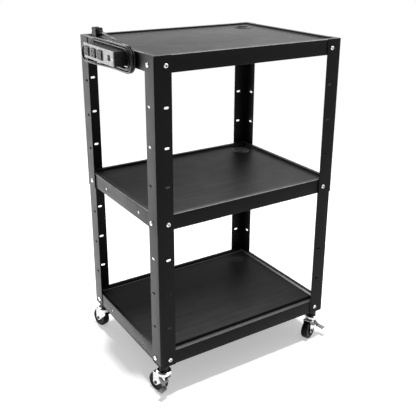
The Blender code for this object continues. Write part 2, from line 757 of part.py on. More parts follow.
def kingpin_shape():
    """The kingpin: its riveted head under the fork, the upper cup, and the stem with its nut above."""
    pin = KINGPIN_DIAMETER / 2
    head = KINGPIN_HEAD_DIAMETER / 2
    cup = CUP_DIAMETER / 2
    head_top = CROWN_UNDERSIDE - SEAT_GAP
    skirt_share = 0.25
    brow_share = 0.82
    stem_top = GUSSET_TOP + SEAT_GAP + STEM_NUT_HEIGHT + STEM_END
    skirt = RACE_DIAMETER / 2 + RUNNING_GAP * 2
    profile = [
        (0.0, head_top - KINGPIN_HEAD_HEIGHT),
        (head * brow_share, head_top - KINGPIN_HEAD_HEIGHT),
        (head, head_top - KINGPIN_HEAD_HEIGHT / 2),
        (head, head_top),
        (pin, head_top),
        (pin, CUP_BOTTOM),
        (skirt, CUP_BOTTOM),
        (skirt, CUP_BOTTOM - RACE_HEIGHT / 2),
        (cup, CUP_BOTTOM - RACE_HEIGHT / 2),
        (cup, CUP_BOTTOM + CUP_HEIGHT * skirt_share),
        (cup * brow_share, CUP_TOP),
        (pin, CUP_TOP),
        (pin, stem_top),
        (0.0, stem_top),
    ]
    corner = STEM_NUT_ACROSS_FLATS / 2 / math.cos(math.pi / HEX_SIDES)
    nut_seat = GUSSET_TOP + SEAT_GAP
    nut = prism(ring_outline(corner, HEX_SIDES), nut_seat, nut_seat + STEM_NUT_HEIGHT)
    return joined(lathe(profile, RACE_SIDES), nut)


def collar_shape():
    """The black spacer collar between the caster's cup and the foot of the leg."""
    low = CUP_TOP + SEAT_GAP
    high = LEG_FOOT_HEIGHT - SEAT_GAP
    outer = COLLAR_DIAMETER / 2
    bore = KINGPIN_DIAMETER / 2 + THREAD_GAP
    profile = [
        (bore, low),
        (outer - COLLAR_CHAMFER, low),
        (outer, low + COLLAR_CHAMFER),
        (outer, high),
        (bore, high),
        (bore, low),
    ]
    return lathe(profile, SMALL_SIDES)


def axle_shape():
    """A riveted axle along +Z, with a head at each end."""
    pin = AXLE_DIAMETER / 2
    head = AXLE_HEAD_DIAMETER / 2
    face = FORK_OUTER_HALF + SEAT_GAP
    end = face + AXLE_HEAD_HEIGHT
    brow_share = 0.75
    profile = [
        (0.0, -end),
        (head * brow_share, -end),
        (head, -face),
        (pin, -face),
        (pin, face),
        (head, face),
        (head * brow_share, end),
        (0.0, end),
    ]
    return lathe(profile, SMALL_SIDES)


def hub_shape():
    """The wheel's moulded centre: a bored boss, a thin web and a rim that carries the tread."""
    bore = AXLE_DIAMETER / 2 + RUNNING_GAP
    boss = HUB_BOSS_DIAMETER / 2
    rim = WHEEL_RADIUS - TREAD_THICKNESS
    inner = rim - HUB_RIM
    half = WHEEL_WIDTH / 2
    web = HUB_WEB / 2
    profile = [
        (bore, -half),
        (boss, -half),
        (boss, -web),
        (inner, -web),
        (inner, -half + TREAD_CROWN),
        (rim, -half + TREAD_CROWN),
        (rim, half - TREAD_CROWN),
        (inner, half - TREAD_CROWN),
        (inner, web),
        (boss, web),
        (boss, half),
        (bore, half),
        (bore, -half),
    ]
    return lathe(profile, RACE_SIDES)


def tread_shape():
    """The rubber tyre, slightly crowned, with rounded shoulders."""
    inner = WHEEL_RADIUS - TREAD_THICKNESS + SEAT_GAP
    half = WHEEL_WIDTH / 2
    shoulder_share = 0.3
    profile = [
        (inner, -half),
        (WHEEL_RADIUS - TREAD_SHOULDER, -half),
        (WHEEL_RADIUS - TREAD_SHOULDER * shoulder_share, -half + TREAD_SHOULDER * shoulder_share),
        (WHEEL_RADIUS, -half + TREAD_SHOULDER),
        (WHEEL_RADIUS, half - TREAD_SHOULDER),
        (WHEEL_RADIUS - TREAD_SHOULDER * shoulder_share, half - TREAD_SHOULDER * shoulder_share),
        (WHEEL_RADIUS - TREAD_SHOULDER, half),
        (inner, half),
        (inner, -half),
    ]
    return lathe(profile, WHEEL_SIDES)


def brake_shape():
    """The foot brake: an ear riveted to the cheek, an arm, a pedal turned outwards and a shoe turned in.

    It is drawn about its pivot, with the cheek's outer face at FORK_OUTER_HALF.
    """
    near = FORK_OUTER_HALF + SEAT_GAP
    far = near + BRAKE_SHEET
    ear_x = BRAKE_PIVOT_TRAIL
    pedal_middle = PEDAL_TRAIL - ear_x
    pedal_level = PEDAL_HEIGHT - BRAKE_PIVOT_HEIGHT
    half_pedal = PEDAL_LENGTH / 2
    outline = [
        (pedal_middle - half_pedal, pedal_level),
        (pedal_middle + half_pedal, pedal_level),
    ]
    steps = SMALL_SIDES // 2
    for i in range(steps + 1):
        angle = math.radians(EAR_START_ANGLE + (EAR_END_ANGLE - EAR_START_ANGLE) * i / steps)
        outline.append((BRAKE_EAR_RADIUS * math.cos(angle), BRAKE_EAR_RADIUS * math.sin(angle)))
    arm = moved(prism(outline, -far, -near), FACING_Y)
    rivet_reach = FORK_OUTER_HALF - FORK_INNER_HALF + SEAT_GAP
    rivet_end = ring_outline(BRAKE_PIVOT_DIAMETER / 2, SMALL_SIDES)
    rivet = prism(rivet_end, -near - BRAKE_SHEET / 2, -near + rivet_reach)
    brake = joined(arm, moved(rivet, FACING_Y))
    # The pedal starts inside the arm and is a little narrower, so that the two share no face
    tip = far + PEDAL_REACH
    root = near + BRAKE_SHEET / 2
    low = pedal_level + PEDAL_SETBACK
    pedal = [
        (root, low),
        (far, low),
        (tip, low - PEDAL_DROP),
        (tip + PEDAL_LIP, low - PEDAL_DROP + PEDAL_LIP),
        (tip + PEDAL_LIP, low - PEDAL_DROP + PEDAL_LIP + BRAKE_SHEET),
        (tip, low - PEDAL_DROP + BRAKE_SHEET),
        (far, low + BRAKE_SHEET),
        (root, low + BRAKE_SHEET),
    ]
    half_tread = half_pedal - PEDAL_SETBACK
    plate = moved(prism(pedal, pedal_middle - half_tread, pedal_middle + half_tread), FACING_X)
    brake = joined(brake, plate)
    # The shoe lies square to the line from the wheel's middle, so that it meets the tread flat
    lift = math.asin((SHOE_HEIGHT - WHEEL_RADIUS) / (WHEEL_RADIUS + SHOE_GAP))
    outward = Vector((-math.cos(lift), math.sin(lift)))
    along = Vector((math.sin(lift), math.cos(lift))) * SHOE_LENGTH / 2
    middle = Vector((CASTER_TRAIL - ear_x, WHEEL_RADIUS - BRAKE_PIVOT_HEIGHT))
    face = middle + outward * (WHEEL_RADIUS + SHOE_GAP)
    back = face + outward * BRAKE_SHEET
    shoe_end = [face - along, face + along, back + along, back - along]
    shoe = prism(shoe_end, -near - BRAKE_SHEET / 2, SHOE_REACH)
    return joined(brake, moved(shoe, FACING_Y))


def make_casters():
    for corner in CORNERS:
        place = caster_place(corner)
        turn = CASTER_HEADINGS[corner]
        spot = Matrix.Translation(place)
        make_object(f"kingpin_{corner}", kingpin_shape(), CHROME_PLATE, place)
        make_object(f"stem_collar_{corner}", collar_shape(), BLACK_PLASTIC, place)
        braked = corner in BRAKED_CASTERS
        make_object(f"fork_{corner}", fork_shape(braked), CHROME_PLATE, place, turn)
        heading = Matrix.Rotation(math.radians(turn), 4, "Z")
        centre = spot @ heading @ Vector((CASTER_TRAIL, 0.0, WHEEL_RADIUS))
        for piece, shape, finish in (
            ("axle", axle_shape, ZINC_PLATE),
            ("wheel_hub", hub_shape, BLACK_PLASTIC),
            ("wheel_tread", tread_shape, TREAD_RUBBER),
        ):
            make_object(f"{piece}_{corner}", moved(shape(), FACING_Y), finish, centre, turn)
        if braked:
            pivot = spot @ heading @ Vector((BRAKE_PIVOT_TRAIL, 0.0, BRAKE_PIVOT_HEIGHT))
            make_object(f"brake_pedal_{corner}", brake_shape(), ZINC_PLATE, pivot, turn)


# Power strip: X runs outwards as -X from the apron, which is where the bracket's back plate lies

STRIP_BACK = shelf_inset(SHELF_STEPS[-1]) - CART_LONG / 2
BRACKET_OUTER = STRIP_BACK - SEAT_GAP - BRACKET_SHEET
HOUSING_BACK = BRACKET_OUTER - SEAT_GAP
HOUSING_FRONT = HOUSING_BACK - STRIP_DEPTH
FACE_BACK = HOUSING_FRONT - SEAT_GAP
FACE_FRONT = FACE_BACK - FACEPLATE_SHEET
STRIP_TOP = rim_z(SHELF_STEPS[-1]) - STRIP_RIM_DROP
STRIP_LOW_Y = STRIP_CENTRE_Y - STRIP_LENGTH / 2
STRIP_HIGH_Y = STRIP_CENTRE_Y + STRIP_LENGTH / 2
STRIP_ENDS = ("front", "rear")
OUTLET_LABELS = ("rear", "middle", "front")
OUTLET_PITCH = STRIP_LENGTH * OUTLET_PITCH_SHARE
OUTLET_FIRST_Y = STRIP_HIGH_Y - OUTLET_END_MARGIN - OUTLET_WIDTH / 2
SWITCH_Y = STRIP_LOW_Y + SWITCH_END_MARGIN
PLUG_START_Y = STRIP_HIGH_Y - PLUG_SETBACK

# The cord's winding, whose inner turn clears the top of the housing
WINDING_TOP = STRIP_TOP + CORD_TOP_GAP + CORD_DIAMETER / 2 + CORD_PITCH
WINDING_RADIUS = (WINDING_HEIGHT - CORD_DIAMETER) / 2
WINDING_Z = WINDING_TOP - WINDING_RADIUS
WINDING_STRAIGHT = STRIP_LENGTH / 2 + SADDLE_END_GAP
INNER_COLUMN_X = BRACKET_OUTER - CORD_WALL_GAP - CORD_DIAMETER / 2
OUTER_COLUMN_X = INNER_COLUMN_X - CORD_PITCH
SADDLE_RADIUS = WINDING_RADIUS - CORD_PITCH - CORD_DIAMETER / 2 - SADDLE_GAP


def strip_middle_z():
    return STRIP_TOP - STRIP_HEIGHT / 2


def bracket_screw_places():
    return (STRIP_LOW_Y - BRACKET_SCREW_INSET, STRIP_HIGH_Y + BRACKET_SCREW_INSET)


def make_bracket():
    """The back plate on the apron and a half-round saddle at each end, in one bent piece."""
    half_plate = SADDLE_RADIUS
    middle = WINDING_Z
    centre_y = STRIP_CENTRE_Y
    reach = WINDING_STRAIGHT
    plate = block(
        (BRACKET_OUTER, centre_y - reach, middle - half_plate),
        (BRACKET_OUTER + BRACKET_SHEET, centre_y + reach, middle + half_plate),
    )
    for side in (-1, 1):
        saddle_end = OUTER_COLUMN_X - CORD_DIAMETER / 2 - SADDLE_GAP
        width = BRACKET_OUTER - saddle_end
        inner = SADDLE_RADIUS - SADDLE_SHEET
        lip = SADDLE_RADIUS + SADDLE_LIP
        web = SADDLE_SHEET
        # The turned section: floor disc on the plate, drum, and the lip that keeps the cord on
        section = [
            (0.0, -BRACKET_SHEET),
            (SADDLE_RADIUS, -BRACKET_SHEET),
            (SADDLE_RADIUS, width),
            (lip, width),
            (lip, width + web),
            (inner, width + web),
            (inner, 0.0),
            (0.0, 0.0),
        ]
        drum = lathe(section, RACE_SIDES)
        keep = block(
            (-lip - CUT_OVERRUN, 0.0, -BRACKET_SHEET - CUT_OVERRUN),
            (lip + CUT_OVERRUN, lip + CUT_OVERRUN, width + web + CUT_OVERRUN),
        )
        half = combined(drum, keep, "INTERSECT")
        # The drum's axis is turned to -X and its round side to the strip's far end
        flip = Matrix.Rotation(0.0 if side > 0 else math.pi, 4, "X")
        spot = Matrix.Translation((BRACKET_OUTER, centre_y + side * reach, middle))
        plate = joined(plate, moved(half, spot @ flip @ OUT_TO_LEFT))
    screws = []
    for y in bracket_screw_places():
        hole = ring_outline(BRACKET_SCREW_DIAMETER / 2 + THREAD_GAP, SMALL_SIDES)
        depth = BRACKET_SHEET + CUT_OVERRUN
        spot = Matrix.Translation((BRACKET_OUTER, y, strip_middle_z()))
        screws.append(moved(prism(hole, -depth, depth), spot @ FACING_X))
    make_object("strip_bracket", cut(plate, together(screws)), BLACK_POWDER_COAT)
    for end, y in zip(STRIP_ENDS, bracket_screw_places()):
        screw = screw_shape(
            BRACKET_SCREW_HEAD, BRACKET_SCREW_HEAD_HEIGHT, BRACKET_SCREW_DIAMETER, BRACKET_SCREW_REACH
        )
        place = (BRACKET_OUTER - SEAT_GAP, y, strip_middle_z())
        make_object(f"bracket_screw_{end}", moved(screw, OUT_TO_LEFT), ZINC_PLATE, place)


def screw_shape(head_diameter, head_height, shank_diameter, length):
    """A pan-head screw with its seat at z = 0 and its shank down -Z."""
    brow_share = 0.7
    profile = [
        (0.0, -length),
        (shank_diameter / 2, -length),
        (shank_diameter / 2, 0.0),
        (head_diameter / 2, 0.0),
        (head_diameter / 2 * brow_share, head_height),
        (0.0, head_height),
    ]
    return lathe(profile, BOLT_SIDES)


def outlet_places():
    return [OUTLET_FIRST_Y - i * OUTLET_PITCH for i in range(len(OUTLET_LABELS))]


def rounded_bar(length, height, radius, low, high):
    """A bar with rounded long edges, its length along Y and height along Z, from X = low to high."""
    outline = rounded_outline(length / 2, height / 2, radius, BEND_STEPS - 1)
    return moved(prism(outline, low, high), FACING_X)


def face_screw_places():
    return (STRIP_LOW_Y + SCREW_END_INSET, STRIP_HIGH_Y - SCREW_END_INSET)


def make_strip():
    middle = strip_middle_z()
    spot = Matrix.Translation((0.0, STRIP_CENTRE_Y, middle))
    shell = rounded_bar(STRIP_LENGTH, STRIP_HEIGHT, STRIP_EDGE_RADIUS, HOUSING_FRONT, HOUSING_BACK)
    hollow = rounded_bar(
        STRIP_LENGTH - 2 * STRIP_WALL,
        STRIP_HEIGHT - 2 * STRIP_WALL,
        STRIP_EDGE_RADIUS / 2,
        HOUSING_FRONT - CUT_OVERRUN,
        HOUSING_BACK - STRIP_WALL,
    )
    make_object("strip_housing", cut(moved(shell, spot), moved(hollow, spot)), BLACK_PLASTIC)

    plate = rounded_bar(STRIP_LENGTH, STRIP_HEIGHT, STRIP_EDGE_RADIUS, FACE_FRONT, FACE_BACK)
    plate = moved(plate, spot)
    rims = [e for e in plate.edges if all(abs(v.co.x - FACE_FRONT) < WELD_TOLERANCE for v in e.verts)]
    bmesh.ops.bevel(plate, geom=rims, offset=FACEPLATE_EDGE, segments=1, affect="EDGES")
    windows = []
    low = FACE_FRONT - CUT_OVERRUN
    high = FACE_BACK + CUT_OVERRUN
    for y in outlet_places():
        window = rounded_bar(
            OUTLET_WIDTH + 2 * SEAT_GAP, OUTLET_HEIGHT + 2 * SEAT_GAP, OUTLET_EDGE, low, high
        )
        windows.append(moved(window, Matrix.Translation((0.0, y, middle))))
    half_width = SWITCH_WIDTH / 2 + SWITCH_GAP
    half_height = SWITCH_HEIGHT / 2 + SWITCH_GAP
    switch_low = (low, SWITCH_Y - half_width, middle - half_height)
    windows.append(block(switch_low, (high, SWITCH_Y + half_width, middle + half_height)))
    for y in face_screw_places():
        hole = prism(ring_outline(SCREW_SHANK_DIAMETER / 2 + THREAD_GAP, SMALL_SIDES), low, high)
        windows.append(moved(hole, Matrix.Translation((0.0, y, middle)) @ FACING_X))
    make_object("strip_faceplate", cut(plate, together(windows)), GREY_PLASTIC)

    for label, y in zip(OUTLET_LABELS, outlet_places()):
        front = FACE_FRONT - OUTLET_PROUD
        back = FACE_BACK + OUTLET_BODY_DEPTH
        body = rounded_bar(OUTLET_WIDTH, OUTLET_HEIGHT, OUTLET_EDGE, front, back)
        tools = []
        half_width = BLADE_SLOT_WIDTH / 2
        half_height = BLADE_SLOT_HEIGHT / 2
        for side in (-1, 1):
            slot_y = side * BLADE_SPACING / 2
            slot_low = (front - CUT_OVERRUN, slot_y - half_width, SOCKET_LIFT - half_height)
            slot_high = (front + SOCKET_DEPTH, slot_y + half_width, SOCKET_LIFT + half_height)
            tools.append(block(slot_low, slot_high))
        earth = ring_outline(EARTH_HOLE_DIAMETER / 2, SMALL_SIDES, (0.0, SOCKET_LIFT - EARTH_DROP))
        tools.append(moved(prism(earth, front - CUT_OVERRUN, front + SOCKET_DEPTH), FACING_X))
        make_object(f"outlet_{label}", cut(body, together(tools)), GREY_PLASTIC, (0.0, y, middle))

    for end, y in zip(STRIP_ENDS, face_screw_places()):
        screw = screw_shape(SCREW_HEAD_DIAMETER, SCREW_HEAD_HEIGHT, SCREW_SHANK_DIAMETER, SCREW_LENGTH)
        place = (FACE_FRONT - SEAT_GAP, y, middle)
        make_object(f"faceplate_screw_{end}", moved(screw, OUT_TO_LEFT), ZINC_PLATE, place)


def make_switch():
    """The rocker, drawn about its pivot: round ends, a shallow V for a face, tilted to its off side."""
    radius = SWITCH_HEIGHT / 2
    outline = []
    for side in (1, -1):
        for i in range(BEND_STEPS + 1):
            angle = math.radians(side * (SWITCH_CORNER_ANGLE * (2 * i / BEND_STEPS - 1.0)))
            outline.append((side * radius * math.cos(angle), radius * math.sin(angle)))
        if side > 0:
            corner = math.radians(SWITCH_CORNER_ANGLE)
            dip = radius * math.cos(corner) * math.tan(math.radians(SWITCH_TILT))
            outline.append((0.0, radius * math.sin(corner) - dip))
    rocker = prism(outline, -SWITCH_WIDTH / 2, SWITCH_WIDTH / 2)
    # The outline's X becomes +Z and its Y becomes -X, and the prism's length lies along Y
    upright = Matrix(((0, -1, 0, 0), (0, 0, 1, 0), (1, 0, 0, 0), (0, 0, 0, 1)))
    tilt = Matrix.Rotation(math.radians(SWITCH_TILT), 4, "Y")
    place = (FACE_FRONT + SWITCH_PIVOT_DEPTH, SWITCH_Y, strip_middle_z())
    make_object("rocker_switch", moved(rocker, tilt @ upright), BLACK_PLASTIC, place)


# Power cord


def smooth(value, low, high):
    """0 before low, 1 after high, and an even S between."""
    t = min(max((value - low) / (high - low), 0.0), 1.0)
    return t * t * (3.0 - 2.0 * t)


def winding_point(station):
    """The cord's centre at a station: 24 stations a turn, from the middle of the lower run forwards."""
    per_turn = 2 * (ARC_STATIONS + RUN_STATIONS)
    half_run = RUN_STATIONS / 2
    drawn_in = smooth(station, *STEP_IN_STATIONS) - smooth(station, *STEP_OUT_STATIONS)
    radius = WINDING_RADIUS - CORD_PITCH * drawn_in
    inboard = smooth(station, *CLIMB_STATIONS)
    x = OUTER_COLUMN_X + (INNER_COLUMN_X - OUTER_COLUMN_X) * inboard
    s = station % per_turn
    straight = WINDING_STRAIGHT
    if s <= half_run:
        y, z = -straight * s / half_run, -radius
    elif s <= half_run + ARC_STATIONS:
        angle = math.pi * (s - half_run) / ARC_STATIONS
        y, z = -straight - radius * math.sin(angle), -radius * math.cos(angle)
    elif s <= half_run + ARC_STATIONS + RUN_STATIONS:
        y, z = -straight + 2 * straight * (s - half_run - ARC_STATIONS) / RUN_STATIONS, radius
    elif s <= per_turn - half_run:
        angle = math.pi * (s - half_run - ARC_STATIONS - RUN_STATIONS) / ARC_STATIONS
        y, z = straight + radius * math.sin(angle), radius * math.cos(angle)
    else:
        y, z = straight * (per_turn - s) / half_run, -radius
    return Vector((x, STRIP_CENTRE_Y + y, WINDING_Z + z))


def winding_route():
    """The wound turns, with a straight end one diameter long before and after."""
    per_turn = 2 * (ARC_STATIONS + RUN_STATIONS)
    last = TURNS_TO_END * per_turn + RUN_STATIONS // 2 + ARC_STATIONS
    turns = [winding_point(station) for station in range(START_STATION, last + 1)]
    first = turns[0] + Vector((0.0, CORD_DIAMETER, 0.0))
    end = turns[-1] + Vector((0.0, CORD_DIAMETER, 0.0))
    return [first] + turns + [end]


def cord_joint(point, direction):
    """Where the next tube starts, past the small gap that parts two touching tubes."""
    return point + Vector(direction) * SEAT_GAP


def lead_in_route(start, finish):
    """Out of the gland, down in a half turn behind the winding, and forwards under the strip."""
    run_z = finish.z
    radius = (start.z - run_z) / 2
    turn_y = start.y + LEAD_STRAIGHT
    points = [start, Vector((start.x, turn_y, start.z))]
    for i in range(1, ARC_STATIONS + 1):
        angle = math.pi * i / ARC_STATIONS
        y = turn_y + radius * math.sin(angle)
        z = run_z + radius + radius * math.cos(angle)
        points.append(Vector((start.x, y, z)))
    near_end = finish + Vector((0.0, CORD_DIAMETER, 0.0))
    count = 2 * RUN_STATIONS
    for i in range(1, count + 1):
        share = i / count
        y = turn_y + (near_end.y - turn_y) * share
        x = start.x + (finish.x - start.x) * smooth(share, 0.0, 1.0)
        points.append(Vector((x, y, run_z)))
    points.append(finish)
    return points


def lead_out_route(start, finish):
    """Off the winding's top run, up over the turns below it, and level into the plug."""
    points = [start, start + Vector((0.0, CORD_DIAMETER, 0.0))]
    low_y = points[-1].y
    high_y = finish.y - CORD_DIAMETER
    count = 3 * RUN_STATIONS
    rise = finish.z - start.z
    for i in range(1, count + 1):
        y = low_y + (high_y - low_y) * i / count
        first = smooth(y, low_y, low_y + LEAD_OUT_CLIMB_LENGTH)
        second = smooth(y, low_y + LEAD_OUT_CLIMB_LENGTH, high_y)
        z = start.z + LEAD_OUT_CLIMB * first + (rise - LEAD_OUT_CLIMB) * second
        points.append(Vector((start.x, y, z)))
    points.append(finish)
    return points


def make_tube(name, route):
    """A round tube along a route, as a bevelled curve with closed ends."""
    curve = bpy.data.curves.new(name, "CURVE")
    curve.dimensions = "3D"
    curve.bevel_depth = CORD_DIAMETER / 2
    curve.bevel_resolution = 1
    curve.use_fill_caps = True
    spline = curve.splines.new("POLY")
    spline.points.add(len(route) - 1)
    for point, place in zip(spline.points, route):
        point.co = (*place, 1.0)
    spline.use_smooth = True
    obj = bpy.data.objects.new(name, curve)
    bpy.context.scene.collection.objects.link(obj)
    curve.materials.append(material(name + "_" + CORD_JACKET[0], *CORD_JACKET[1:]))
    return obj


def least_gap(route):
    """The smallest free distance between two stretches of the tube that aren't neighbours."""
    fine = []
    per_side = 6
    for a, b in zip(route, route[1:]):
        fine += [np.array(a.lerp(b, i / per_side)) for i in range(per_side)]
    fine = np.array(fine)
    steps = np.linalg.norm(np.diff(fine, axis=0), axis=1)
    along = np.concatenate(([0.0], np.cumsum(steps)))
    apart = np.linalg.norm(fine[:, None] - fine[None], axis=2)
    neighbours = np.abs(along[:, None] - along[None]) < math.pi * CORD_DIAMETER
    apart[neighbours] = np.inf
    return float(apart.min()) - CORD_DIAMETER


def plug_level():
    return WINDING_Z + WINDING_RADIUS + CORD_DIAMETER / 2 + SEAT_GAP + PLUG_HEIGHT / 2


def make_cord():
    gland_x = HOUSING_BACK - GLAND_OUTBOARD
    gland_z = strip_middle_z() + GLAND_RISE
    root = STRIP_HIGH_Y + SEAT_GAP
    flange = GLAND_ROOT_DIAMETER / 2
    tip = GLAND_TIP_DIAMETER / 2
    neck_share = 0.8
    profile = [
        (0.0, 0.0),
        (flange, 0.0),
        (flange, GLAND_FLANGE),
        (flange * neck_share, GLAND_FLANGE),
        (tip, GLAND_LENGTH),
        (0.0, GLAND_LENGTH),
    ]
    along_y = Matrix.Rotation(math.radians(-90.0), 4, "X")
    gland = moved(lathe(profile, SMALL_SIDES), along_y)
    make_object("cord_gland", gland, BLACK_PLASTIC, (gland_x, root, gland_z))

    winding = winding_route()
    exit_point = Vector((gland_x, root + GLAND_LENGTH + SEAT_GAP, gland_z))
    lead_in = lead_in_route(exit_point, cord_joint(winding[0], (0.0, 1.0, 0.0)))
    plug_entry = Vector((INNER_COLUMN_X, PLUG_START_Y - SEAT_GAP, plug_level()))
    lead_out = lead_out_route(cord_joint(winding[-1], (0.0, 1.0, 0.0)), plug_entry)
    make_tube("power_cord_lead_in", lead_in)
    make_tube("power_cord_winding", winding)
    make_tube("power_cord_lead_out", lead_out)

    whole = lead_in + winding + lead_out
    length = sum((b - a).length for a, b in zip(whole, whole[1:]))
    print(f"power cord: {length:.3f} m long, least gap to itself {least_gap(whole) * 1000:.2f} mm")


def make_plug():
    """The moulded plug: a tapered relief on the cord, a body with rounded edges, and three prongs."""
    half_width = PLUG_WIDTH / 2
    half_height = PLUG_HEIGHT / 2
    relief = PLUG_RELIEF_DIAMETER / 2
    body_start = PLUG_RELIEF_LENGTH
    shoulder_share = 0.72
    sections = (
        (0.0, relief, relief, relief),
        (body_start, relief, relief, relief),
        (body_start + PLUG_EDGE, half_width * shoulder_share, half_height * shoulder_share, PLUG_EDGE),
        (body_start + PLUG_EDGE * 3, half_width, half_height, PLUG_EDGE),
        (PLUG_LENGTH + body_start - PLUG_EDGE / 2, half_width, half_height, PLUG_EDGE),
        (PLUG_LENGTH + body_start, half_width - PLUG_EDGE / 2, half_height - PLUG_EDGE / 2, PLUG_EDGE),
    )
    bm = bmesh.new()
    rings = []
    for along, wide, high, radius in sections:
        outline = rounded_outline(wide, high, radius, BEND_STEPS - 1)
        rings.append([bm.verts.new((x, along, z)) for x, z in outline])
    for near, far in zip(rings, rings[1:]):
        count = len(near)
        for i in range(count):
            j = (i + 1) % count
            bm.faces.new((near[i], near[j], far[j], far[i]))
    bm.faces.new(rings[0])
    bm.faces.new(rings[-1])
    place = (INNER_COLUMN_X, PLUG_START_Y, plug_level())
    make_object("plug_body", bm, BLACK_PLASTIC, place)

    start = body_start + PLUG_LENGTH + SEAT_GAP
    end = start + PRONG_LENGTH
    middle = EARTH_PIN_OFFSET / 2
    for label, side in (("lower", -1), ("upper", 1)):
        z = side * PRONG_SPACING / 2
        low = (middle - PRONG_WIDTH / 2, start, z - PRONG_SHEET / 2)
        high = (middle + PRONG_WIDTH / 2, end, z + PRONG_SHEET / 2)
        make_object(f"plug_blade_{label}", block(low, high), PRONG_METAL, place)
    pin = prism(ring_outline(EARTH_PIN_DIAMETER / 2, BOLT_SIDES, (-EARTH_PIN_OFFSET, 0.0)), -end, -start)
    make_object("plug_earth_pin", moved(pin, FACING_Y), PRONG_METAL, place)


make_legs()
make_shelves()
make_grommets()
make_casters()
make_bracket()
make_strip()
make_switch()
make_cord()
make_plug()
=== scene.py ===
import json
import math

import bmesh
import bpy
from mathutils import Matrix, Vector


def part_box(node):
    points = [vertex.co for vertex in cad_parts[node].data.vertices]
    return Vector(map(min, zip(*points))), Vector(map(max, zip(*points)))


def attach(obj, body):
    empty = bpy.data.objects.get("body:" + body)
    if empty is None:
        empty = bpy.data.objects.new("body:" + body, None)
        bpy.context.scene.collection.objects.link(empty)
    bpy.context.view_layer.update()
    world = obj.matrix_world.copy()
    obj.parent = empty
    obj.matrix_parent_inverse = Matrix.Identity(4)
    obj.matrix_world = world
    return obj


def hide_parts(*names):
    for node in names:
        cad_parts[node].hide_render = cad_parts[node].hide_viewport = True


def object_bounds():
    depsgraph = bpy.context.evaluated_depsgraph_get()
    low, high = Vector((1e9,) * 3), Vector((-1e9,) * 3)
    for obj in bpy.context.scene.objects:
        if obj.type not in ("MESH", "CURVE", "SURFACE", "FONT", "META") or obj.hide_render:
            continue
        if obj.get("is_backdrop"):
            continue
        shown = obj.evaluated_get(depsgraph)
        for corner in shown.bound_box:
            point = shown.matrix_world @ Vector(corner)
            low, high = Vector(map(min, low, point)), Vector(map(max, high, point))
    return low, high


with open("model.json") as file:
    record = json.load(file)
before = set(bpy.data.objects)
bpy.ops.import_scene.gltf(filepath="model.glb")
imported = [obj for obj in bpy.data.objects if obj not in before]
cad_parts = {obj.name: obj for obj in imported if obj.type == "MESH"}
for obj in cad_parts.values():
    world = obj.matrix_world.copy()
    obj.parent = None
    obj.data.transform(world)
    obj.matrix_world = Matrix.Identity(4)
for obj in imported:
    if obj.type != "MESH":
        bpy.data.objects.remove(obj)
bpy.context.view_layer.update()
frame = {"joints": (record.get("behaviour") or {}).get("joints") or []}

# The camera stands to the front left of the cart, a little above the top shelf, and looks down on it.
# Its sizes are in pixels of the photograph's square frame, and a small downward shift frames the cart.
FRAME_PIXELS = 416
FOCAL_PIXELS = 653.6
CENTRE_PIXEL_X = 206.4
SHIFT_SHARE = -0.09
SENSOR_MM = 36.0
CAMERA_PLACE = (-1.0436, -1.6155, 1.2500)
CAMERA_YAW = 0.57075
CAMERA_PITCH = 0.33755
CAMERA_ROLL = 0.00434


def in_scene(name, data):
    """A new object with this data, linked into the scene."""
    made = bpy.data.objects.new(name, data)
    bpy.context.scene.collection.objects.link(made)
    return made


lens = bpy.data.cameras.new("photograph_camera")
lens.sensor_width = SENSOR_MM
lens.lens = FOCAL_PIXELS / FRAME_PIXELS * SENSOR_MM
lens.shift_x = (FRAME_PIXELS / 2 - CENTRE_PIXEL_X) / FRAME_PIXELS
lens.shift_y = SHIFT_SHARE
camera = in_scene("photograph_camera", lens)
bpy.context.scene.camera = camera
level_right = Vector((math.cos(CAMERA_YAW), -math.sin(CAMERA_YAW), 0.0))
forward = Vector((
    math.sin(CAMERA_YAW) * math.cos(CAMERA_PITCH),
    math.cos(CAMERA_YAW) * math.cos(CAMERA_PITCH),
    -math.sin(CAMERA_PITCH),
))
level_up = level_right.cross(forward)
right = level_right * math.cos(CAMERA_ROLL) + level_up * math.sin(CAMERA_ROLL)
up = level_up * math.cos(CAMERA_ROLL) - level_right * math.sin(CAMERA_ROLL)
turned = Matrix((right, up, -forward)).transposed().to_4x4()
camera.matrix_world = Matrix.Translation(CAMERA_PLACE) @ turned

# The power cord is one 6.6 mm round lead with a soft black vinyl jacket. It leaves the strip's rear
# end, doubles back under the strip, is wound over strip and saddles in two columns, two turns deep, and
# rises off the last turn's top run into the plug.
CORD_DIAMETER = 0.0066
CORD_PITCH = 0.0072
CORD_GAP = 0.0006
BRACKET_SHEET = 0.0015
SEAT_GAP = 0.0003
WINDING_HEIGHT = 0.073
SADDLE_END_GAP = 0.0048
ARC_STATIONS = 8
RUN_STATIONS = 4
TURN_STATIONS = 2 * (ARC_STATIONS + RUN_STATIONS)
START_STATION = 1
LAST_STATION = 3 * TURN_STATIONS + RUN_STATIONS // 2 + ARC_STATIONS
STATION_STEPS = 3
STEP_IN_STATIONS = (20.5, 23.5)
CLIMB_STATIONS = (38.5, 43.5)
STEP_OUT_STATIONS = (58.5, 61.5)
LEAD_STRAIGHT = 0.007
LEAD_OUT_CLIMB = 0.0085
LEAD_OUT_CLIMB_LENGTH = 0.075

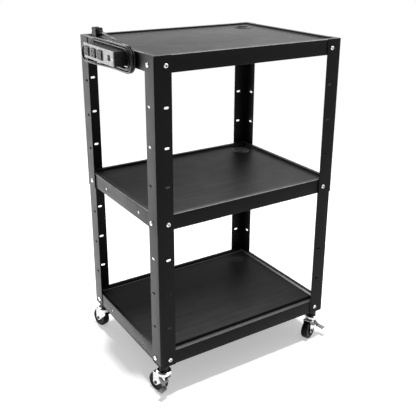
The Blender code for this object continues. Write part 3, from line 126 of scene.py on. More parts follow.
strip_low, strip_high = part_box("strip_housing")
gland_low, gland_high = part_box("cord_gland")
plug_low, plug_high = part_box("plug_body")
bracket_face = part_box("strip_bracket")[1].x - BRACKET_SHEET
strip_half_y = (strip_high.y - strip_low.y) / 2
strip_middle_y = (strip_low.y + strip_high.y) / 2
winding_radius = (WINDING_HEIGHT - CORD_DIAMETER) / 2
winding_z = strip_high.z + CORD_GAP + CORD_DIAMETER / 2 + CORD_PITCH - winding_radius
winding_straight = strip_half_y + SADDLE_END_GAP
inner_column_x = bracket_face - CORD_GAP - CORD_DIAMETER / 2
outer_column_x = inner_column_x - CORD_PITCH


def middle(node):
    """The middle of a CAD node's box, as plain numbers."""
    return tuple((low + high) / 2 for low, high in zip(*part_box(node)))


def arc(x, y, wide, high, first, last, steps, skip=0):
    """Points of an ellipse about (x, y), from the first angle to the last, in degrees."""
    turn = (last - first) / steps
    angles = [math.radians(first + turn * i) for i in range(skip, steps + 1)]
    return [(x + wide * math.cos(angle), y + high * math.sin(angle)) for angle in angles]


def eased(value, low, high):
    """0 before low, 1 after high, and an even S between."""
    t = min(max((value - low) / (high - low), 0.0), 1.0)
    return t * t * (3.0 - 2.0 * t)


def winding_point(station):
    """The lead's centre at a station: 24 stations a turn, from the middle of the lower run forwards."""
    drawn_in = eased(station, *STEP_IN_STATIONS) - eased(station, *STEP_OUT_STATIONS)
    radius = winding_radius - CORD_PITCH * drawn_in
    x = outer_column_x + (inner_column_x - outer_column_x) * eased(station, *CLIMB_STATIONS)
    half_run = RUN_STATIONS / 2
    straight = winding_straight
    s = station % TURN_STATIONS
    if s <= half_run:
        y, z = -straight * s / half_run, -radius
    elif s <= half_run + ARC_STATIONS:
        angle = math.pi * (s - half_run) / ARC_STATIONS
        y, z = -straight - radius * math.sin(angle), -radius * math.cos(angle)
    elif s <= half_run + ARC_STATIONS + RUN_STATIONS:
        y, z = -straight + 2 * straight * (s - half_run - ARC_STATIONS) / RUN_STATIONS, radius
    elif s <= TURN_STATIONS - half_run:
        angle = math.pi * (s - half_run - ARC_STATIONS - RUN_STATIONS) / ARC_STATIONS
        y, z = straight + radius * math.sin(angle), radius * math.cos(angle)
    else:
        y, z = straight * (TURN_STATIONS - s) / half_run, -radius
    return Vector((x, strip_middle_y + y, winding_z + z))


def cord_route():
    """The whole lead: gland, half turn behind, run under the strip, turns, and rise to the plug."""
    count = (LAST_STATION - START_STATION) * STATION_STEPS
    turns = [winding_point(START_STATION + i / STATION_STEPS) for i in range(count + 1)]
    gland_x, _, gland_z = middle("cord_gland")
    start = Vector((gland_x, gland_high.y + SEAT_GAP, gland_z))
    turn_y = start.y + LEAD_STRAIGHT
    run_z = turns[0].z
    radius = (start.z - run_z) / 2
    route = [start, Vector((start.x, turn_y, start.z))]
    behind = arc(turn_y, run_z + radius, radius, radius, 90.0, -90.0, ARC_STATIONS * STATION_STEPS, 1)
    route += [Vector((start.x, y, z)) for y, z in behind]
    near_end = turns[0] + Vector((0.0, 2 * CORD_DIAMETER, 0.0))
    steps = 2 * RUN_STATIONS * STATION_STEPS
    for i in range(1, steps + 1):
        share = i / steps
        x = start.x + (near_end.x - start.x) * eased(share, 0.0, 1.0)
        route.append(Vector((x, turn_y + (near_end.y - turn_y) * share, run_z)))
    route += turns

    plug_entry = Vector((inner_column_x, plug_low.y - SEAT_GAP, middle("plug_body")[2]))
    end = turns[-1]
    low_y = end.y + 2 * CORD_DIAMETER
    high_y = plug_entry.y - CORD_DIAMETER
    rise = plug_entry.z - end.z
    route.append(Vector((end.x, low_y, end.z)))
    steps = 3 * RUN_STATIONS * STATION_STEPS
    for i in range(1, steps + 1):
        y = low_y + (high_y - low_y) * i / steps
        first = eased(y, low_y, low_y + LEAD_OUT_CLIMB_LENGTH)
        second = eased(y, low_y + LEAD_OUT_CLIMB_LENGTH, high_y)
        z = end.z + LEAD_OUT_CLIMB * first + (rise - LEAD_OUT_CLIMB) * second
        route.append(Vector((end.x, y, z)))
    return route + [plug_entry]


def feed(tree, socket, value):
    """Links a socket to another one, or gives it a plain value."""
    if isinstance(value, bpy.types.NodeSocket):
        tree.links.new(value, socket)
    elif socket.type == "RGBA":
        socket.default_value = (*value, 1.0)
    else:
        socket.default_value = value


def add_node(tree, kind, inputs, data_type=None, operation=None):
    """A new node, with its inputs fed by name or by number."""
    node = tree.nodes.new(kind)
    if data_type:
        node.data_type = data_type
    if operation:
        node.operation = operation
    for name, value in inputs.items():
        feed(tree, node.inputs[name], value)
    return node


class Paint:
    """The nodes of a material or of the surround. A value is another node's socket or a plain one."""

    def __init__(self, owner, shader="Principled BSDF", coordinates="Object"):
        owner.use_nodes = True
        self.owner = owner
        self.tree = owner.node_tree
        self.shader = self.tree.nodes[shader]
        self.place = self.tree.nodes.new("ShaderNodeTexCoord").outputs[coordinates]

    def set(self, name, value):
        feed(self.tree, self.shader.inputs[name], value)

    def math(self, operation, *values):
        return add_node(self.tree, "ShaderNodeMath", dict(enumerate(values)), None, operation).outputs[0]

    def axes(self, vector):
        return add_node(self.tree, "ShaderNodeSeparateXYZ", {"Vector": vector}).outputs

    def graded(self, value, from_low, from_high, low=0.0, high=1.0):
        """A value carried from one range to another, and kept inside it."""
        ends = {"From Min": from_low, "From Max": from_high, "To Min": low, "To Max": high}
        return add_node(self.tree, "ShaderNodeMapRange", {"Value": value, **ends}).outputs["Result"]

    def mixed(self, factor, first, second, data_type="RGBA"):
        """From the first colour or number to the second, as the factor goes from 0 to 1."""
        inputs = {"Factor": factor, "A": first, "B": second}
        return add_node(self.tree, "ShaderNodeMix", inputs, data_type).outputs["Result"]

    def noise(self, scale, detail=2.0, rough=0.5, distortion=0.0, place=None):
        """Grey noise over the surface, at a scale in grains a metre."""
        inputs = {"Scale": scale, "Detail": detail, "Roughness": rough, "Distortion": distortion}
        inputs["Vector"] = place or self.place
        return add_node(self.tree, "ShaderNodeTexNoise", inputs).outputs["Fac"]

    def relief(self, strength, depth, *grain):
        """Raises the surface by noise, over what an earlier call has raised."""
        normal = self.shader.inputs["Normal"]
        inputs = {"Strength": strength, "Distance": depth, "Height": self.noise(*grain)}
        if normal.is_linked:
            inputs["Normal"] = normal.links[0].from_socket
        self.set("Normal", add_node(self.tree, "ShaderNodeBump", inputs).outputs["Normal"])


def surface(name, colours, mottle, roughness, gloss, reliefs, specular=0.5, metallic=0.0):
    """A material whose colour and roughness each wander between two values, under fine reliefs.

    The mottle and the gloss are each the two noise levels that the change lies between, then the noise.
    A relief is a strength, a depth in metres and the noise.
    """
    paint = Paint(bpy.data.materials.new(name))
    paint.set("Base Color", paint.mixed(paint.graded(paint.noise(*mottle[2:]), *mottle[:2]), *colours))
    paint.set("Roughness", paint.graded(paint.noise(*gloss[2:]), *gloss[:2], *roughness))
    paint.set("Specular IOR Level", specular)
    paint.set("Metallic", metallic)
    for relief in reliefs:
        paint.relief(*relief)
    return paint.owner


# Black vinyl with a faint waviness from the wires inside and a handled sheen.
cord_vinyl = surface(
    "cord_vinyl",
    [(0.008, 0.008, 0.009), (0.017, 0.017, 0.018)],
    (0.3, 0.7, 90.0, 3.0),
    (0.20, 0.34),
    (0.3, 0.7, 400.0),
    [(0.25, 0.0004, 260.0), (0.15, 0.0001, 3200.0, 1.0)],
    specular=0.2,
)
route = cord_route()
cord_curve = bpy.data.curves.new("power_cord", "CURVE")
cord_curve.dimensions = "3D"
cord_curve.bevel_depth = CORD_DIAMETER / 2
cord_curve.bevel_resolution = 4
cord_curve.use_fill_caps = True
strand = cord_curve.splines.new("POLY")
strand.points.add(len(route) - 1)
for point, centre in zip(strand.points, route):
    point.co = (*centre, 1.0)
strand.use_smooth = True
cord_curve.materials.append(cord_vinyl)
power_cord = in_scene("power_cord", cord_curve)
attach(power_cord, "cart")
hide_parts("power_cord_lead_in", "power_cord_winding", "power_cord_lead_out")

# Three shelves, each one pressed from 1.2 mm steel sheet and powder coated black: a rolled rim, a shallow
# pan inside it, a deep apron and a flange turned in at its foot. The two upper ones have a cable hole at
# the right rear, and the two lower ones two spare bracket holes in the left apron.
SHELF_SHEET = 0.0012
RIM_WIDTH = 0.013
PAN_RECESS = 0.00635
PAN_SLOPE = 0.003
RIM_RADIUS = 0.0016
RETURN_FLANGE = 0.012
PAN_CORNER_RADIUS = 0.006
SHELF_CORNER_RADIUS = 0.0016
CABLE_BORE = 0.0518
BOLT_DROP = 0.0258
SPARE_HOLE = 0.009
SMOOTH_ANGLE = math.radians(35.0)
COAT_ROUGHNESS = 0.41
ROUGHNESS_SPREAD = 0.03
COAT_SPECULAR = 0.095
# The colour of dust, and of the painted light laid on the shelves.
DUST_AND_LIGHT_COLOUR = (0.215, 0.212, 0.208)
# Pale colour of the painted highlight along a rim's rounded bend.
EDGE_HIGHLIGHT_COLOUR = (0.58, 0.58, 0.59)
# Pale colour and added sheen of the painted light on a pan's right wall.
LIT_WALL_COLOUR = (0.80, 0.80, 0.81)
LIT_WALL_SHEEN = 0.6
PAN_CORNER_WIDTH = 0.003
# How much dust colour and sheen is left under the painted corner shade.
CORNER_SHADE_SHARE = 0.08
SOFT_EDGE = 0.0005
# Per shelf: the dust, and the painted light and shade that powder_coat lays over it.
SHELF_WEAR_AND_LIGHT = {
    "top": {"dust": 0.25, "rim_painted_light": 0.22, "rear_light": 0.26, "edge_highlight": 0.9},
    "middle": {"dust": 0.03, "rim_painted_light": 0.22, "front_light": 0.95, "edge_highlight": 1.0},
    "bottom": {
        "dust": 0.14,
        "rim_painted_light": -0.14,
        "front_rim_highlight": 0.35,
        "front_light": 1.1,
        "rear_seam_highlight": 0.9,
        "edge_highlight": 0.12,
        "lit_wall": 1.0,
        "dulled": 0.6,
        "front_shade_strip": 0.023,
    },
}


def corner_shade_mask(paint, y, beyond, half_deep, front_shade_strip):
    """1 on a shelf, next to 0 in the pan's inner corner and on a strip behind the front rim: painted shade,
    which darkens the dust and the sheen there.
    """
    outside = paint.graded(beyond, -SOFT_EDGE, SOFT_EDGE, CORNER_SHADE_SHARE, 1.0)
    at_wall = paint.graded(beyond, -PAN_CORNER_WIDTH, -PAN_CORNER_WIDTH / 2, 1.0, CORNER_SHADE_SHARE)
    strip_end = front_shade_strip - half_deep
    at_front = paint.graded(y, strip_end - 4 * SOFT_EDGE, strip_end, CORNER_SHADE_SHARE, 1.0)
    return paint.math("MAXIMUM", outside, paint.math("MINIMUM", at_wall, at_front))


def rear_highlight_line(paint, y, beyond, half_deep):
    """1 on a thin line at the foot of a pan's rear wall, where a painted highlight goes."""
    near = paint.graded(y, half_deep - 0.0090, half_deep - 0.0075)
    wall = -PAN_CORNER_WIDTH
    return paint.math("MULTIPLY", near, paint.graded(beyond, wall - SOFT_EDGE, wall + SOFT_EDGE, 1.0, 0.0))


def lit_wall_mask(paint, x, y, facing_x, beyond):
    """1 on the right wall of a pan, which faces the lamps at the left, less towards the back: where painted
    light goes.
    """
    wall = paint.math("MULTIPLY", paint.graded(facing_x, -0.3, -0.7), paint.graded(x, 0.1, 0.2))
    wall = paint.math("MULTIPLY", wall, paint.graded(beyond, 0.0015, 0.0030, 1.0, 0.0))
    return paint.math("MULTIPLY", wall, paint.graded(y, 0.18, -0.20, 0.05, 1.0))


def lit_towards_edges(paint, x, y, front_light, rear_light):
    """Painted light that grows towards a shelf's front or rear edge, less at the right, in long streaks."""
    stretch = add_node(paint.tree, "ShaderNodeMapping", {"Vector": paint.place, "Scale": (0.10, 1.0, 1.0)})
    streaks = paint.noise(55.0, 5.0, 0.6, place=stretch.outputs["Vector"])
    towards_front = paint.graded(y, 0.06, -0.24, 0.0, front_light)
    less_at_right = paint.graded(x, 0.02, 0.27, 1.0, 0.35)
    in_front = paint.math("MULTIPLY", towards_front, less_at_right)
    both = paint.math("ADD", in_front, paint.graded(y, -0.05, 0.21, 0.0, rear_light))
    return paint.math("MULTIPLY", both, paint.graded(streaks, 0.35, 0.65, 0.72, 1.0))


def powder_coat(
    name,
    dust,
    rim=None,
    rim_painted_light=0.0,
    front_rim_highlight=0.0,
    front_light=0.0,
    rear_light=0.0,
    rear_seam_highlight=0.0,
    edge_highlight=0.0,
    lit_wall=0.0,
    dulled=0.0,
    front_shade_strip=0.0,
):
    """Satin black powder coat: orange peel, uneven gloss and dust, and on a shelf painted light and shade:
    lighter on the rim and towards the front and rear edges, painted highlights on the rim's bends, at the
    rear seam and on the right wall, and painted shade in the pan's corner.
    """
    paint = Paint(bpy.data.materials.new(name))
    paint.set("Specular IOR Level", COAT_SPECULAR)
    cloud = paint.graded(paint.noise(7.0, 4.0, 0.6), 0.35, 0.65)
    coat = paint.mixed(cloud, (0.004, 0.004, 0.0043), (0.006, 0.006, 0.0064))
    facing = paint.axes(paint.tree.nodes.new("ShaderNodeNewGeometry").outputs["Normal"])
    dust_and_light_share = paint.graded(facing["Z"], 0.35, 0.95, 0.0, 1.0 if rim else dust)
    if rim:
        x, y, _ = paint.axes(paint.place)
        beyond_x = paint.math("SUBTRACT", paint.math("ABSOLUTE", x), rim[0])
        beyond_y = paint.math("SUBTRACT", paint.math("ABSOLUTE", y), rim[1])
        beyond = paint.math("MAXIMUM", beyond_x, beyond_y)
        # Painted light on the rim; a negative amount makes it painted shade.
        dust_and_light = paint.graded(beyond, 0.0, 0.0015, dust, dust + rim_painted_light)
        # Painted light growing towards the front and rear edges of the shelf.
        dust_and_light = paint.math("ADD", dust_and_light, lit_towards_edges(paint, x, y, front_light, rear_light))
        # A painted highlight on the front rim.
        on_front_rim = paint.graded(y, -rim[1], -rim[1] - 0.0015, 0.0, front_rim_highlight)
        # A painted highlight on a thin line at the foot of the rear wall.
        rear_line_light = paint.math("MULTIPLY", rear_highlight_line(paint, y, beyond, rim[1]), rear_seam_highlight)
        dust_and_light = paint.math("ADD", dust_and_light, paint.math("ADD", on_front_rim, rear_line_light))
        # Painted shade in the pan's inner corner and on a strip behind the front rim: less dust colour and
        # less sheen there.
        unshaded = corner_shade_mask(paint, y, beyond, rim[1], front_shade_strip)
        sheen = paint.graded(dust_and_light_share, 0.0, 1.0, COAT_SPECULAR, COAT_SPECULAR * (1.0 - dulled))
        # Painted light on the pan's right wall, which faces the lamps at the left: more sheen here and a
        # pale colour below.
        wall = paint.math("MULTIPLY", lit_wall_mask(paint, x, y, facing["X"], beyond), lit_wall)
        sheen = paint.math("MULTIPLY", sheen, unshaded)
        sheen = paint.math("ADD", sheen, paint.math("MULTIPLY", wall, LIT_WALL_SHEEN))
        paint.set("Specular IOR Level", sheen)
        # The dust and the painted light, less under the painted corner shade.
        dust_and_light_share = paint.math("MULTIPLY", dust_and_light_share, paint.math("MULTIPLY", dust_and_light, unshaded))
    speckle = paint.graded(paint.noise(14.0, 5.0, 0.55), 0.35, 0.75, 0.88, 1.0)
    colour = paint.mixed(paint.math("MULTIPLY", dust_and_light_share, speckle), coat, DUST_AND_LIGHT_COLOUR)
    if rim:
        # A painted highlight along the rim's rounded bend, pale and in patches.
        bend = paint.math(
            "MULTIPLY",
            paint.graded(facing["Z"], 0.10, 0.35, 0.0, edge_highlight),
            paint.graded(facing["Z"], 0.90, 0.99, 1.0, 0.0),
        )
        edge = RIM_WIDTH - RIM_RADIUS
        bend = paint.math("MULTIPLY", bend, paint.graded(beyond, edge - 0.0006, edge))
        patchy = paint.graded(paint.noise(45.0, 4.0, 0.6), 0.3, 0.6, 0.7, 1.0)
        colour = paint.mixed(paint.math("MULTIPLY", bend, patchy), colour, EDGE_HIGHLIGHT_COLOUR)
        # The pale painted light on the right wall, in patches.
        colour = paint.mixed(paint.math("MULTIPLY", wall, patchy), colour, LIT_WALL_COLOUR)
    paint.set("Base Color", colour)
    low, high = COAT_ROUGHNESS - ROUGHNESS_SPREAD, COAT_ROUGHNESS + ROUGHNESS_SPREAD
    paint.set("Roughness", paint.graded(paint.noise(22.0, 3.0), 0.3, 0.7, low, high))
    paint.relief(0.22, 0.0002, 900.0)
    paint.relief(0.08, 0.0006, 120.0, 1.0)
    return paint.owner


def finish_piece(name, bm, finish, replaces=None, body="cart", edge=0.0, edge_steps=2):
    """A piece from a bmesh in the cart's own frame: smooth where round, edges softened, riding on a body."""
    bmesh.ops.remove_doubles(bm, verts=bm.verts[:], dist=0.000002)
    bmesh.ops.recalc_face_normals(bm, faces=bm.faces[:])
    mesh = bpy.data.meshes.new(name)
    bm.to_mesh(mesh)
    bm.free()
    mesh.shade_smooth()
    mesh.set_sharp_from_angle(angle=SMOOTH_ANGLE)
    mesh.materials.append(finish)
    piece = in_scene(name, mesh)
    if edge:
        soften = piece.modifiers.new("softened_edges", "BEVEL")
        soften.width = edge
        soften.segments = edge_steps
        soften.limit_method = "ANGLE"
        soften.angle_limit = SMOOTH_ANGLE
        soften.use_clamp_overlap = True
    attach(piece, body)
    if replaces:
        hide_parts(replaces)
    return piece


def rounded_path(points, radius, steps):
    """An open path with each inner corner turned into an arc."""
    path = [points[0]]
    for before, corner, after in zip(points, points[1:], points[2:]):
        corner = Vector(corner)
        back = (Vector(before) - corner).normalized()
        on = (Vector(after) - corner).normalized()
        half = back.angle(on) / 2
        reach = radius / math.tan(half)
        centre = corner + (back + on).normalized() * (radius / math.sin(half))
        first = corner + back * reach - centre
        sweep = first.angle_signed(corner + on * reach - centre)
        path += [tuple(centre + Matrix.Rotation(-sweep * i / steps, 2) @ first) for i in range(steps + 1)]
    return path + [points[-1]]


def square(half_x, half_y, x=0.0, y=0.0):
    """A rectangle with sharp corners, anticlockwise."""
    corners = ((-1, -1), (1, -1), (1, 1), (-1, 1))
    return [(x + side_x * half_x, y + side_y * half_y) for side_x, side_y in corners]


def rectangle(half_x, half_y, radius, steps, x=0.0, y=0.0):
    """A rectangle with rounded corners, anticlockwise."""
    corners = square(half_x - radius, half_y - radius, x, y)
    outline = []
    for i, corner in enumerate(corners[1:] + corners[:1]):
        outline += arc(*corner, radius, radius, 90.0 * i - 90.0, 90.0 * i, steps)
    return outline


def circle(radius, sides, x=0.0, y=0.0):
    return arc(x, y, radius, radius, 0.0, 360.0, sides)[:-1]


def lofted(rings):
    """A body through rings of points, with a cap on the first and on the last."""
    bm = bmesh.new()
    rings = [[bm.verts.new(point) for point in ring] for ring in rings]
    for near, far in zip(rings, rings[1:]):
        for corners in zip(near, near[1:] + near[:1], far[1:] + far[:1], far):
            bm.faces.new(corners)
    bm.faces.new(rings[0])
    bm.faces.new(rings[-1])
    bmesh.ops.recalc_face_normals(bm, faces=bm.faces[:])
    return bm


def extruded(outline, low, high):
    """An outline in X and Y, carried along Z from low to high."""
    bm = bmesh.new()
    face = bm.faces.new([bm.verts.new((x, y, low)) for x, y in outline])
    grown = bmesh.ops.extrude_face_region(bm, geom=[face])
    tops = [vert for vert in grown["geom"] if isinstance(vert, bmesh.types.BMVert)]
    bmesh.ops.translate(bm, verts=tops, vec=(0.0, 0.0, high - low))
    bmesh.ops.recalc_face_normals(bm, faces=bm.faces[:])
    return bm


def turned_about_z(profile, sides):
    """(radius, height) points spun about Z. The profile ends on the axis or meets itself."""
    bm = bmesh.new()
    verts = [bm.verts.new((radius, 0.0, height)) for radius, height in profile]
    spun = verts + [bm.edges.new(pair) for pair in zip(verts, verts[1:])]
    about = {"cent": (0.0, 0.0, 0.0), "axis": (0.0, 0.0, 1.0), "angle": math.tau}
    bmesh.ops.spin(bm, geom=spun, steps=sides, use_merge=True, **about)
    bmesh.ops.remove_doubles(bm, verts=bm.verts[:], dist=0.000001)
    bmesh.ops.dissolve_degenerate(bm, dist=0.000001, edges=bm.edges[:])
    bmesh.ops.recalc_face_normals(bm, faces=bm.faces[:])
    return bm


def mirrored(profile):
    """The same (radius, height) points below z = 0, in the opposite order."""
    return [(radius, -height) for radius, height in reversed(profile)]


def placed(bm, matrix):
    bmesh.ops.transform(bm, matrix=matrix, verts=bm.verts[:])
    return bm


def plain_mesh(name, bm):
    """A bmesh written to a new mesh. It is used up."""
    mesh = bpy.data.meshes.new(name)
    bm.to_mesh(mesh)
    bm.free()
    return mesh


def gathered(parts):
    """Several bmeshes as one, each still a body of its own."""
    whole = bmesh.new()
    for part in parts:
        mesh = plain_mesh("part", part)
        whole.from_mesh(mesh)
        bpy.data.meshes.remove(mesh)
    return whole


def shaped(target, tool, operation="DIFFERENCE"):
    """The exact Boolean of two bmeshes. Both are used up."""
    pair = []
    for bm in (target, tool):
        bmesh.ops.recalc_face_normals(bm, faces=bm.faces[:])
        pair.append(in_scene("operand", plain_mesh("operand", bm)))
    change = pair[0].modifiers.new("change", "BOOLEAN")
    change.operation = operation
    change.solver = "EXACT"
    change.object = pair[1]
    bpy.context.view_layer.update()
    result = pair[0].evaluated_get(bpy.context.evaluated_depsgraph_get()).to_mesh()
    bm = bmesh.new()
    bm.from_mesh(result)
    for piece in pair:
        mesh = piece.data
        bpy.data.objects.remove(piece, do_unlink=True)
        bpy.data.meshes.remove(mesh)
    return bm


def pan_sheet(low, high):
    """The pressed sheet in a CAD shelf's box: its rounded section carried round the rectangle."""
    sheet = SHELF_SHEET
    foot = low.z - high.z
    slope_end = RIM_WIDTH + PAN_SLOPE
    floor_end = slope_end + RIM_WIDTH
    under = [(floor_end, -PAN_RECESS - sheet), (slope_end - sheet, -PAN_RECESS - sheet)]
    under += [(RIM_WIDTH - sheet, -sheet), (sheet, -sheet), (sheet, foot + sheet)]
    under.append((RETURN_FLANGE, foot + sheet))
    over = [(RETURN_FLANGE, foot), (0.0, foot), (0.0, 0.0), (RIM_WIDTH, 0.0)]
    over += [(slope_end, -PAN_RECESS), (floor_end, -PAN_RECESS)]
    rings = []
    for inset, height in rounded_path(under, RIM_RADIUS - sheet / 2, 3) + rounded_path(over, RIM_RADIUS, 4):
        blend = min(max((inset - RIM_WIDTH / 2) / RIM_WIDTH, 0.0), 1.0)
        radius = SHELF_CORNER_RADIUS + (PAN_CORNER_RADIUS - SHELF_CORNER_RADIUS) * blend
        outline = rectangle(high.x - inset, high.y - inset, radius, 6)
        rings.append([(x, y, high.z + height) for x, y in outline])
    return lofted(rings)


facing_y = Matrix.Rotation(math.radians(90.0), 4, "X")
facing_x = Matrix.Rotation(math.radians(90.0), 4, "Z") @ facing_y
for label, wear_and_light in SHELF_WEAR_AND_LIGHT.items():
    low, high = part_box(f"{label}_shelf")
    sheet = pan_sheet(low, high)
    if label != "bottom":
        x, y, _ = middle(f"grommet_ring_{label}")
        sheet = shaped(sheet, extruded(circle(CABLE_BORE / 2, 48, x, y), high.z - 2 * PAN_RECESS, high.z))
    if label != "top":
        for screw in ("bracket_screw_front", "bracket_screw_rear"):
            hole = extruded(circle(SPARE_HOLE / 2, 32), -3 * SHELF_SHEET, 3 * SHELF_SHEET)
            spot = Matrix.Translation((low.x, middle(screw)[1], high.z - BOLT_DROP))
            sheet = shaped(sheet, placed(hole, spot @ facing_x))
    coat = powder_coat(f"{label}_shelf_powder_coat", rim=(high.x - RIM_WIDTH, high.y - RIM_WIDTH), **wear_and_light)
    finish_piece(f"pressed_shelf_{label}", sheet, coat, f"{label}_shelf")

# A square plate of 2.5 mm steel is welded across each corner of the bottom shelf's underside, on the
# return flange, and takes a caster's stem.
GUSSET_SIDE = 0.046
GUSSET_SHEET = 0.0025
shelf_low, shelf_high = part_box("bottom_shelf")
CORNERS = {
    "front_left": (-1, -1, 0.0),
    "front_right": (1, -1, 90.0),
    "rear_right": (1, 1, 180.0),
    "rear_left": (-1, 1, 270.0),
}
half = (GUSSET_SIDE - SHELF_SHEET) / 2
inset = (GUSSET_SIDE + SHELF_SHEET) / 2
floor = shelf_low.z + SHELF_SHEET
gussets = []
for side_x, side_y, _ in CORNERS.values():
    outline = square(half, half, side_x * (shelf_high.x - inset), side_y * (shelf_high.y - inset))
    gussets.append(extruded(outline, floor, floor + GUSSET_SHEET))
gusset_coat = powder_coat("gusset_powder_coat", 0.02)
finish_piece("caster_gussets", gathered(gussets), gusset_coat, edge=0.0004)

# Eight legs of 1.5 mm steel angle, powder coated: four upper ones lap over four lower ones and the middle
# shelf's bolts go through both. Slots in both flanges are spare heights for the shelves.
LEG_FLANGE = 0.0493
LEG_SHEET = 0.0015
LEG_BEND = 0.003
HOLE_INSET = 0.033
HOLE_PITCH = 0.1057
SLOT_LENGTH = 0.014
SLOT_HEIGHT = 0.0065
first_bolt_z = shelf_high.z - BOLT_DROP
lap_gap = LEG_SHEET + SEAT_GAP
leg_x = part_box("top_shelf")[1].x + lap_gap
leg_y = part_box("top_shelf")[1].y + lap_gap


def slot(reach):
    """A slot's tool, reaching this far to both sides of z = 0."""
    end = SLOT_HEIGHT / 2
    far = SLOT_LENGTH / 2 - end
    outline = arc(far, 0.0, end, end, -90.0, 90.0, 8) + arc(-far, 0.0, end, end, 90.0, 270.0, 8)
    return extruded(outline, -reach, reach)


def leg_angle(inset, low, high, slot_rows):
    """An angle leg, its outer corner at the origin, its flanges along +X and +Y, with slots in both."""
    end = inset + LEG_FLANGE
    back = inset + LEG_SHEET
    bend = inset + LEG_BEND
    inner = LEG_BEND - LEG_SHEET
    outline = [(end, inset), (end, back)] + arc(bend, bend, inner, inner, 270.0, 180.0, 6)
    outline += [(back, end), (inset, end)] + arc(bend, bend, LEG_BEND, LEG_BEND, 180.0, 270.0, 8)
    reach = inset + 2 * LEG_SHEET
    tools = []
    for row in slot_rows:
        z = first_bolt_z + row * HOLE_PITCH
        tools.append(placed(slot(reach), Matrix.Translation((HOLE_INSET, 0.0, z)) @ facing_y))
        tools.append(placed(slot(reach), Matrix.Translation((0.0, HOLE_INSET, z)) @ facing_x))
    return shaped(extruded(outline, low, high), gathered(tools))


leg_coat = powder_coat("leg_powder_coat", 0.2)
for kind, inset, slot_rows in (("upper_leg", 0.0, (5, 6, 7)), ("lower_leg", lap_gap, (1, 2, 3))):
    low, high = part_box(f"{kind}_front_left")
    pattern = leg_angle(inset, low.z, high.z, slot_rows)
    for corner, (side_x, side_y, turn) in CORNERS.items():
        foot = Matrix.Translation((side_x * leg_x, side_y * leg_y, 0.0))
        leg = placed(pattern.copy(), foot @ Matrix.Rotation(math.radians(turn), 4, "Z"))
        node = f"{kind}_{corner}"
        finish_piece(f"angle_{node}", leg, leg_coat, node, edge=0.0003)
    pattern.free()

# Each shelf hangs on eight bolts, two at a corner: zinc-plated button heads with a hexagon recess, and a
# chamfered hexagon nut inside the apron. One bolt and one nut are instanced over all the seats.
BOLT_HEAD_DIAMETER = 0.0125
BOLT_HEAD_HEIGHT = 0.0033
BOLT_HEAD_EDGE = 0.0007
BOLT_HEAD_FLAT = 0.0030
BOLT_DIAMETER = 0.006
BOLT_LENGTH = 0.014
HEX_KEY = 0.0050
HEX_KEY_DEPTH = 0.0028
NUT_ACROSS_FLATS = 0.010
NUT_HEIGHT = 0.005
CHAMFER = 0.0006
SHELF_ROWS = {"bottom": 0, "middle": 4, "top": 8}

# Bright zinc plate: silvery and a little cloudy, with a fine grain.
zinc = surface(
    "zinc_plate",
    [(0.60, 0.61, 0.63), (0.80, 0.81, 0.82)],
    (0.3, 0.7, 320.0, 3.0),
    (0.2, 0.4),
    (0.3, 0.7, 900.0, 3.0),
    [(0.12, 0.00005, 5000.0)],
    metallic=1.0,
)
# Painted shade with grease and dust in a driver recess: dark, uneven and dull.
recess_shade_and_grime = surface(
    "recess_shade_and_grime",
    [(0.008, 0.008, 0.008), (0.03, 0.029, 0.027)],
    (0.35, 0.65, 1500.0, 3.0),
    (0.7, 0.7),
    (0.3, 0.7, 1500.0),
    [(0.3, 0.0002, 3000.0)],
)


def button_bolt():
    """A button-head bolt, its seat at z = 0 and its shank down -Z, with a hexagon recess."""
    head = BOLT_HEAD_DIAMETER / 2
    shank = BOLT_DIAMETER / 2
    dome = head - BOLT_HEAD_FLAT
    tip = -BOLT_LENGTH
    profile = [(0.0, tip), (shank - CHAMFER, tip), (shank, tip + CHAMFER), (shank, 0.0)]
    profile += [(head - 0.0002, 0.0), (head, 0.0002), (head, BOLT_HEAD_EDGE)]
    rise = BOLT_HEAD_HEIGHT - BOLT_HEAD_EDGE
    profile += arc(BOLT_HEAD_FLAT, BOLT_HEAD_EDGE, dome, rise, 0.0, 90.0, 6, 1) + [(0.0, BOLT_HEAD_HEIGHT)]
    key = extruded(circle(HEX_KEY / math.sqrt(3.0), 6), BOLT_HEAD_HEIGHT - HEX_KEY_DEPTH, 0.01)
    return shaped(turned_about_z(profile, 32), key)


def hexagon_nut(corner, height, bore, profile):
    """A hexagon nut with its seat at z = 0, chamfered by a turned profile, and bored."""
    nut = shaped(extruded(circle(corner, 6), 0.0, height), turned_about_z(profile, 36), "INTERSECT")
    return shaped(nut, extruded(bore, -height, 2 * height))


